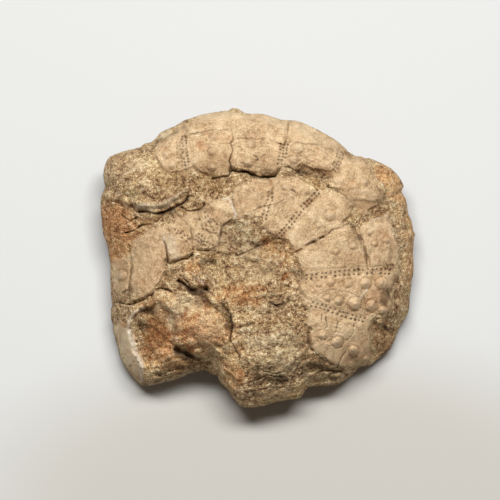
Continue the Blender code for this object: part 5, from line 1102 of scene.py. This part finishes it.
def fossilLimestone():
    material = bpy.data.materials.new("fossilLimestone")
    material.use_nodes = True
    tree = material.node_tree
    nodes, links = tree.nodes, tree.links
    shader = nodes["Principled BSDF"]
    shader.inputs["Specular IOR Level"].default_value = finishes["shine"]

    def feed(socket, value):
        if isinstance(value, bpy.types.NodeSocket):
            links.new(value, socket)
        else:
            socket.default_value = value

    def compute(operation, first, second=0.0, third=0.0):
        node = nodes.new("ShaderNodeMath")
        node.operation = operation
        for socket, value in zip(node.inputs, (first, second, third)):
            feed(socket, value)
        return node.outputs[0]

    def add(first, second):
        return compute("ADD", first, second)

    def subtract(first, second):
        return compute("SUBTRACT", first, second)

    def multiply(first, second):
        return compute("MULTIPLY", first, second)

    def scaled(value, gain, shift):
        return compute("MULTIPLY_ADD", value, gain, shift)

    # Turns a value around 0.5 into one around 0
    def centred(value, gain):
        return scaled(value, gain, -0.5 * gain)

    # The mix node lists its sockets once for every data type, so the colour ones are found by type
    def blend(factor, first, second, mode="MIX"):
        node = nodes.new("ShaderNodeMix")
        node.data_type = "RGBA"
        node.blend_type = mode
        colours = [socket for socket in node.inputs if socket.type == "RGBA"]
        feed(node.inputs[0], factor)
        for socket, value in zip(colours, (first, second)):
            feed(socket, (*value, 1.0) if isinstance(value, tuple) else value)
        return [socket for socket in node.outputs if socket.type == "RGBA"][0]

    def cover(name):
        node = nodes.new("ShaderNodeAttribute")
        node.attribute_name = name
        return node.outputs["Fac"]

    def ramp(factor, stops):
        node = nodes.new("ShaderNodeValToRGB")
        elements = node.color_ramp.elements
        while len(elements) < len(stops):
            elements.new(0.5)
        for element, (place, colour) in zip(elements, stops):
            element.position = place
            element.color = (*colour, 1.0)
        feed(node.inputs[0], factor)
        return node.outputs[0]

    coordinates = nodes.new("ShaderNodeTexCoord").outputs["Object"]
    mapping = nodes.new("ShaderNodeMapping")
    mapping.inputs["Scale"].default_value = [1.0 / millimetre] * 3
    links.new(coordinates, mapping.inputs["Vector"])
    place = mapping.outputs["Vector"]

    def clouds(name):
        node = nodes.new("ShaderNodeTexNoise")
        links.new(place, node.inputs["Vector"])
        for socket, value in zip(("Scale", "Detail", "Roughness"), finishes[name]):
            node.inputs[socket].default_value = value
        return node.outputs["Fac"]

    # Distance to the middle of the nearest grain, and two values that each grain has to itself
    def grains(scale):
        node = nodes.new("ShaderNodeTexVoronoi")
        links.new(place, node.inputs["Vector"])
        node.inputs["Scale"].default_value = scale
        parts = nodes.new("ShaderNodeSeparateColor")
        links.new(node.outputs["Color"], parts.inputs[0])
        return node.outputs["Distance"], parts.outputs[0], parts.outputs[1]

    sandDistance, sandTone, sandKind = grains(finishes["sandScale"])
    dustDistance, dustTone, dustKind = grains(finishes["dustScale"])
    mottle, patchy, speckle = clouds("mottle"), clouds("patchy"), clouds("speckle")
    high = cover("high")
    ragged = scaled(patchy, 1.5, 0.25)

    # Sand: every grain has its own tone, with painted shade in hollows, pale flecks and dark specks
    tone = scaled(sandTone, finishes["sandTones"], multiply(dustTone, finishes["dustTones"]))
    for value, gain in ((patchy, 0.8), (mottle, 0.5), (high, 0.6)):
        tone = add(tone, centred(value, gain))
    tone = subtract(tone, multiply(sandDistance, finishes["grainEdge"]))
    limit, shade = finishes["darkSpecks"]
    tone = subtract(tone, multiply(compute("GREATER_THAN", dustKind, limit), shade))
    limit, shade = finishes["paleFlecks"]
    tone = add(tone, multiply(compute("LESS_THAN", sandKind, limit), shade))
    tone = add(tone, finishes["sandLight"])
    stone = blend(scaled(mottle, 2.0, -0.9), ramp(tone, finishes["sand"]), finishes["yellow"], "MULTIPLY")
    stone = blend(multiply(cover("orange"), ragged), stone, ramp(tone, finishes["orange"]))
    stone = blend(multiply(cover("rust"), ragged), stone, finishes["rust"], "MULTIPLY")
    # Pale patches: pale stone, and in places painted light
    paleAndLitShare = multiply(ragged, scaled(dustTone, 0.8, 0.2))
    stone = blend(multiply(cover("pale"), paleAndLitShare), stone, finishes["pale"])

    # Plates: fine calcite speckle with faint stains
    shellTone = scaled(speckle, 1.7, scaled(patchy, 0.8, -0.87))
    shellTone = add(shellTone, scaled(dustTone, 0.26, -0.10))
    limit, shade = finishes["plateSpecks"]
    shellTone = subtract(shellTone, multiply(compute("GREATER_THAN", sandKind, limit), shade))
    # painted light on the high places of the plates and painted shade in their dips
    shellTone = add(shellTone, centred(high, 0.5))
    stain = scaled(clouds("stain"), 3.2, -1.65)
    stain = compute("MINIMUM", compute("MAXIMUM", stain, 0.0), 0.5)
    shell = blend(stain, ramp(shellTone, finishes["plate"]), finishes["pink"], "MULTIPLY")
    shell = blend(cover("pink"), shell, finishes["pink"], "MULTIPLY")
    shell = blend(multiply(cover("rust"), ragged), shell, finishes["rust"], "MULTIPLY")
    shell = blend(multiply(cover("pale"), 0.5), shell, finishes["pale"])
    # Bosses paler towards the middle: their own paler calcite, and partly a painted highlight
    shell = blend(multiply(cover("boss"), 0.3), shell, finishes["boss"])
    plated = multiply(cover("shell"), scaled(patchy, 0.5, 0.74))
    colour = blend(compute("MINIMUM", plated, 1.0), stone, shell)

    # Grey stone, dirt with painted shade, dark patches of painted shade, sutures with painted shade in the
    # tubercle rings, white broken edges with some painted light, and painted shade in pores and cracks
    for name, strength, mode in (
            ("grey", 0.75, "MULTIPLY"), ("dirtAndShade", ragged, "MULTIPLY"), ("dark", ragged, "MULTIPLY"),
            ("seamAndShade", 1.0, "MULTIPLY"), ("white", 1.0, "MIX"), ("pore", 0.92, "MIX"), ("crack", 0.9, "MIX")):
        colour = blend(multiply(cover(name), strength), colour, finishes[name], mode)
    links.new(colour, shader.inputs["Base Color"])

    dryness = scaled(cover("plate"), -0.12, scaled(speckle, 0.12, 0.86))
    links.new(dryness, shader.inputs["Roughness"])

    # Relief: sand grains on the rock, fine pitting on the plates
    bare = scaled(cover("plate"), -0.8, 1.0)
    relief = multiply(scaled(dustDistance, -0.5, multiply(sandDistance, -0.9)), bare)
    relief = scaled(speckle, 1.2, relief)
    relief = scaled(clouds("pitting"), 0.8, relief)
    bump = nodes.new("ShaderNodeBump")
    bump.inputs["Strength"].default_value = 1.0
    bump.inputs["Distance"].default_value = finishes["bumpDistance"]
    links.new(relief, bump.inputs["Height"])
    links.new(bump.outputs["Normal"], shader.inputs["Normal"])
    return material


rock = buildUrchin()
rock.data.materials.append(fossilLimestone())
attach(rock, "root")
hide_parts("fossil_urchin")
print("rock dressed")

# Floor, light and camera
setting = {
    "floorSize": 3.0,
    "floorColour": (0.645, 0.665, 0.675),
    "paintedShadowColour": (0.54, 0.53, 0.50),  # painted shadow: the floor is warmer and duller in front of the rock
    "paintedShadowMiddle": (0.012, -0.062),
    "paintedShadowReach": (0.11, 0.05),
    "paintedShadowCore": 0.45,        # share of that reach that has the full painted shadow
    "frameWidth": 0.125,          # width of the picture at the frame level
    "frameLevel": 0.011,
    "frameMiddle": (-0.002, 0.002),
    "cameraHeight": 1.2,
    "sensorWidth": 36.0,
    "lampPlace": (0.03, 0.55, 1.1),
    "lampSize": (1.0, 0.25),
    "lampColour": (1.0, 0.985, 0.96),
    "lampPower": 21.4,
    "skyColour": (1.0, 0.85, 0.68),
    "skyStrength": 0.115,
}


# The floor carries a painted shadow: its colour fades from the shadow colour in front of the rock to the
# plain one over an oval
def paleFloor():
    material = bpy.data.materials.new("paleFloor")
    material.use_nodes = True
    shader = material.node_tree.nodes["Principled BSDF"]
    nodes, links = material.node_tree.nodes, material.node_tree.links
    coordinates = nodes.new("ShaderNodeTexCoord")
    mapping = nodes.new("ShaderNodeMapping")
    (middleX, middleY), (reachX, reachY) = setting["paintedShadowMiddle"], setting["paintedShadowReach"]
    mapping.inputs["Scale"].default_value = (1.0 / reachX, 1.0 / reachY, 0.0)
    mapping.inputs["Location"].default_value = (-middleX / reachX, -middleY / reachY, 0.0)
    links.new(coordinates.outputs["Object"], mapping.inputs["Vector"])
    apart = nodes.new("ShaderNodeVectorMath")
    apart.operation = "LENGTH"
    links.new(mapping.outputs["Vector"], apart.inputs[0])
    span = nodes.new("ShaderNodeMapRange")
    span.interpolation_type = "SMOOTHSTEP"
    span.inputs["From Min"].default_value = setting["paintedShadowCore"]
    links.new(apart.outputs["Value"], span.inputs["Value"])
    shades = nodes.new("ShaderNodeValToRGB")
    shades.color_ramp.elements[0].color = (*setting["paintedShadowColour"], 1.0)
    shades.color_ramp.elements[1].color = (*setting["floorColour"], 1.0)
    links.new(span.outputs["Result"], shades.inputs[0])
    links.new(shades.outputs["Color"], shader.inputs["Base Color"])
    shader.inputs["Roughness"].default_value = 0.95
    shader.inputs["Specular IOR Level"].default_value = 0.1
    return material


def layFloor():
    half = setting["floorSize"] / 2.0
    corners = [(-half, -half, 0), (half, -half, 0), (half, half, 0), (-half, half, 0)]
    mesh = bpy.data.meshes.new("floor")
    mesh.from_pydata(corners, [], [(0, 1, 2, 3)])
    mesh.materials.append(paleFloor())
    floor = bpy.data.objects.new("floor", mesh)
    bpy.context.scene.collection.objects.link(floor)


def hangLamp():
    light = bpy.data.lights.new("softLamp", "AREA")
    light.shape = "RECTANGLE"
    light.size, light.size_y = setting["lampSize"]
    light.energy = setting["lampPower"]
    light.color = setting["lampColour"]
    lamp = bpy.data.objects.new("softLamp", light)
    bpy.context.scene.collection.objects.link(lamp)
    lamp.location = setting["lampPlace"]
    lamp.rotation_euler = (-Vector(setting["lampPlace"])).to_track_quat("-Z", "Y").to_euler()


def fillSky():
    sky = bpy.data.worlds.new("studioSky")
    sky.use_nodes = True
    background = sky.node_tree.nodes["Background"]
    background.inputs["Color"].default_value = (*setting["skyColour"], 1.0)
    background.inputs["Strength"].default_value = setting["skyStrength"]
    bpy.context.scene.world = sky


def placeCamera():
    lens = bpy.data.cameras.new("camera")
    lens.sensor_width = setting["sensorWidth"]
    distance = setting["cameraHeight"] - setting["frameLevel"]
    lens.lens = setting["sensorWidth"] * distance / setting["frameWidth"]
    camera = bpy.data.objects.new("camera", lens)
    bpy.context.scene.collection.objects.link(camera)
    camera.location = (*setting["frameMiddle"], setting["cameraHeight"])
    bpy.context.scene.camera = camera


layFloor()
hangLamp()
fillSky()
placeCamera()
bpy.context.scene.view_settings.view_transform = "Standard"
print("floor, lamp and camera placed")
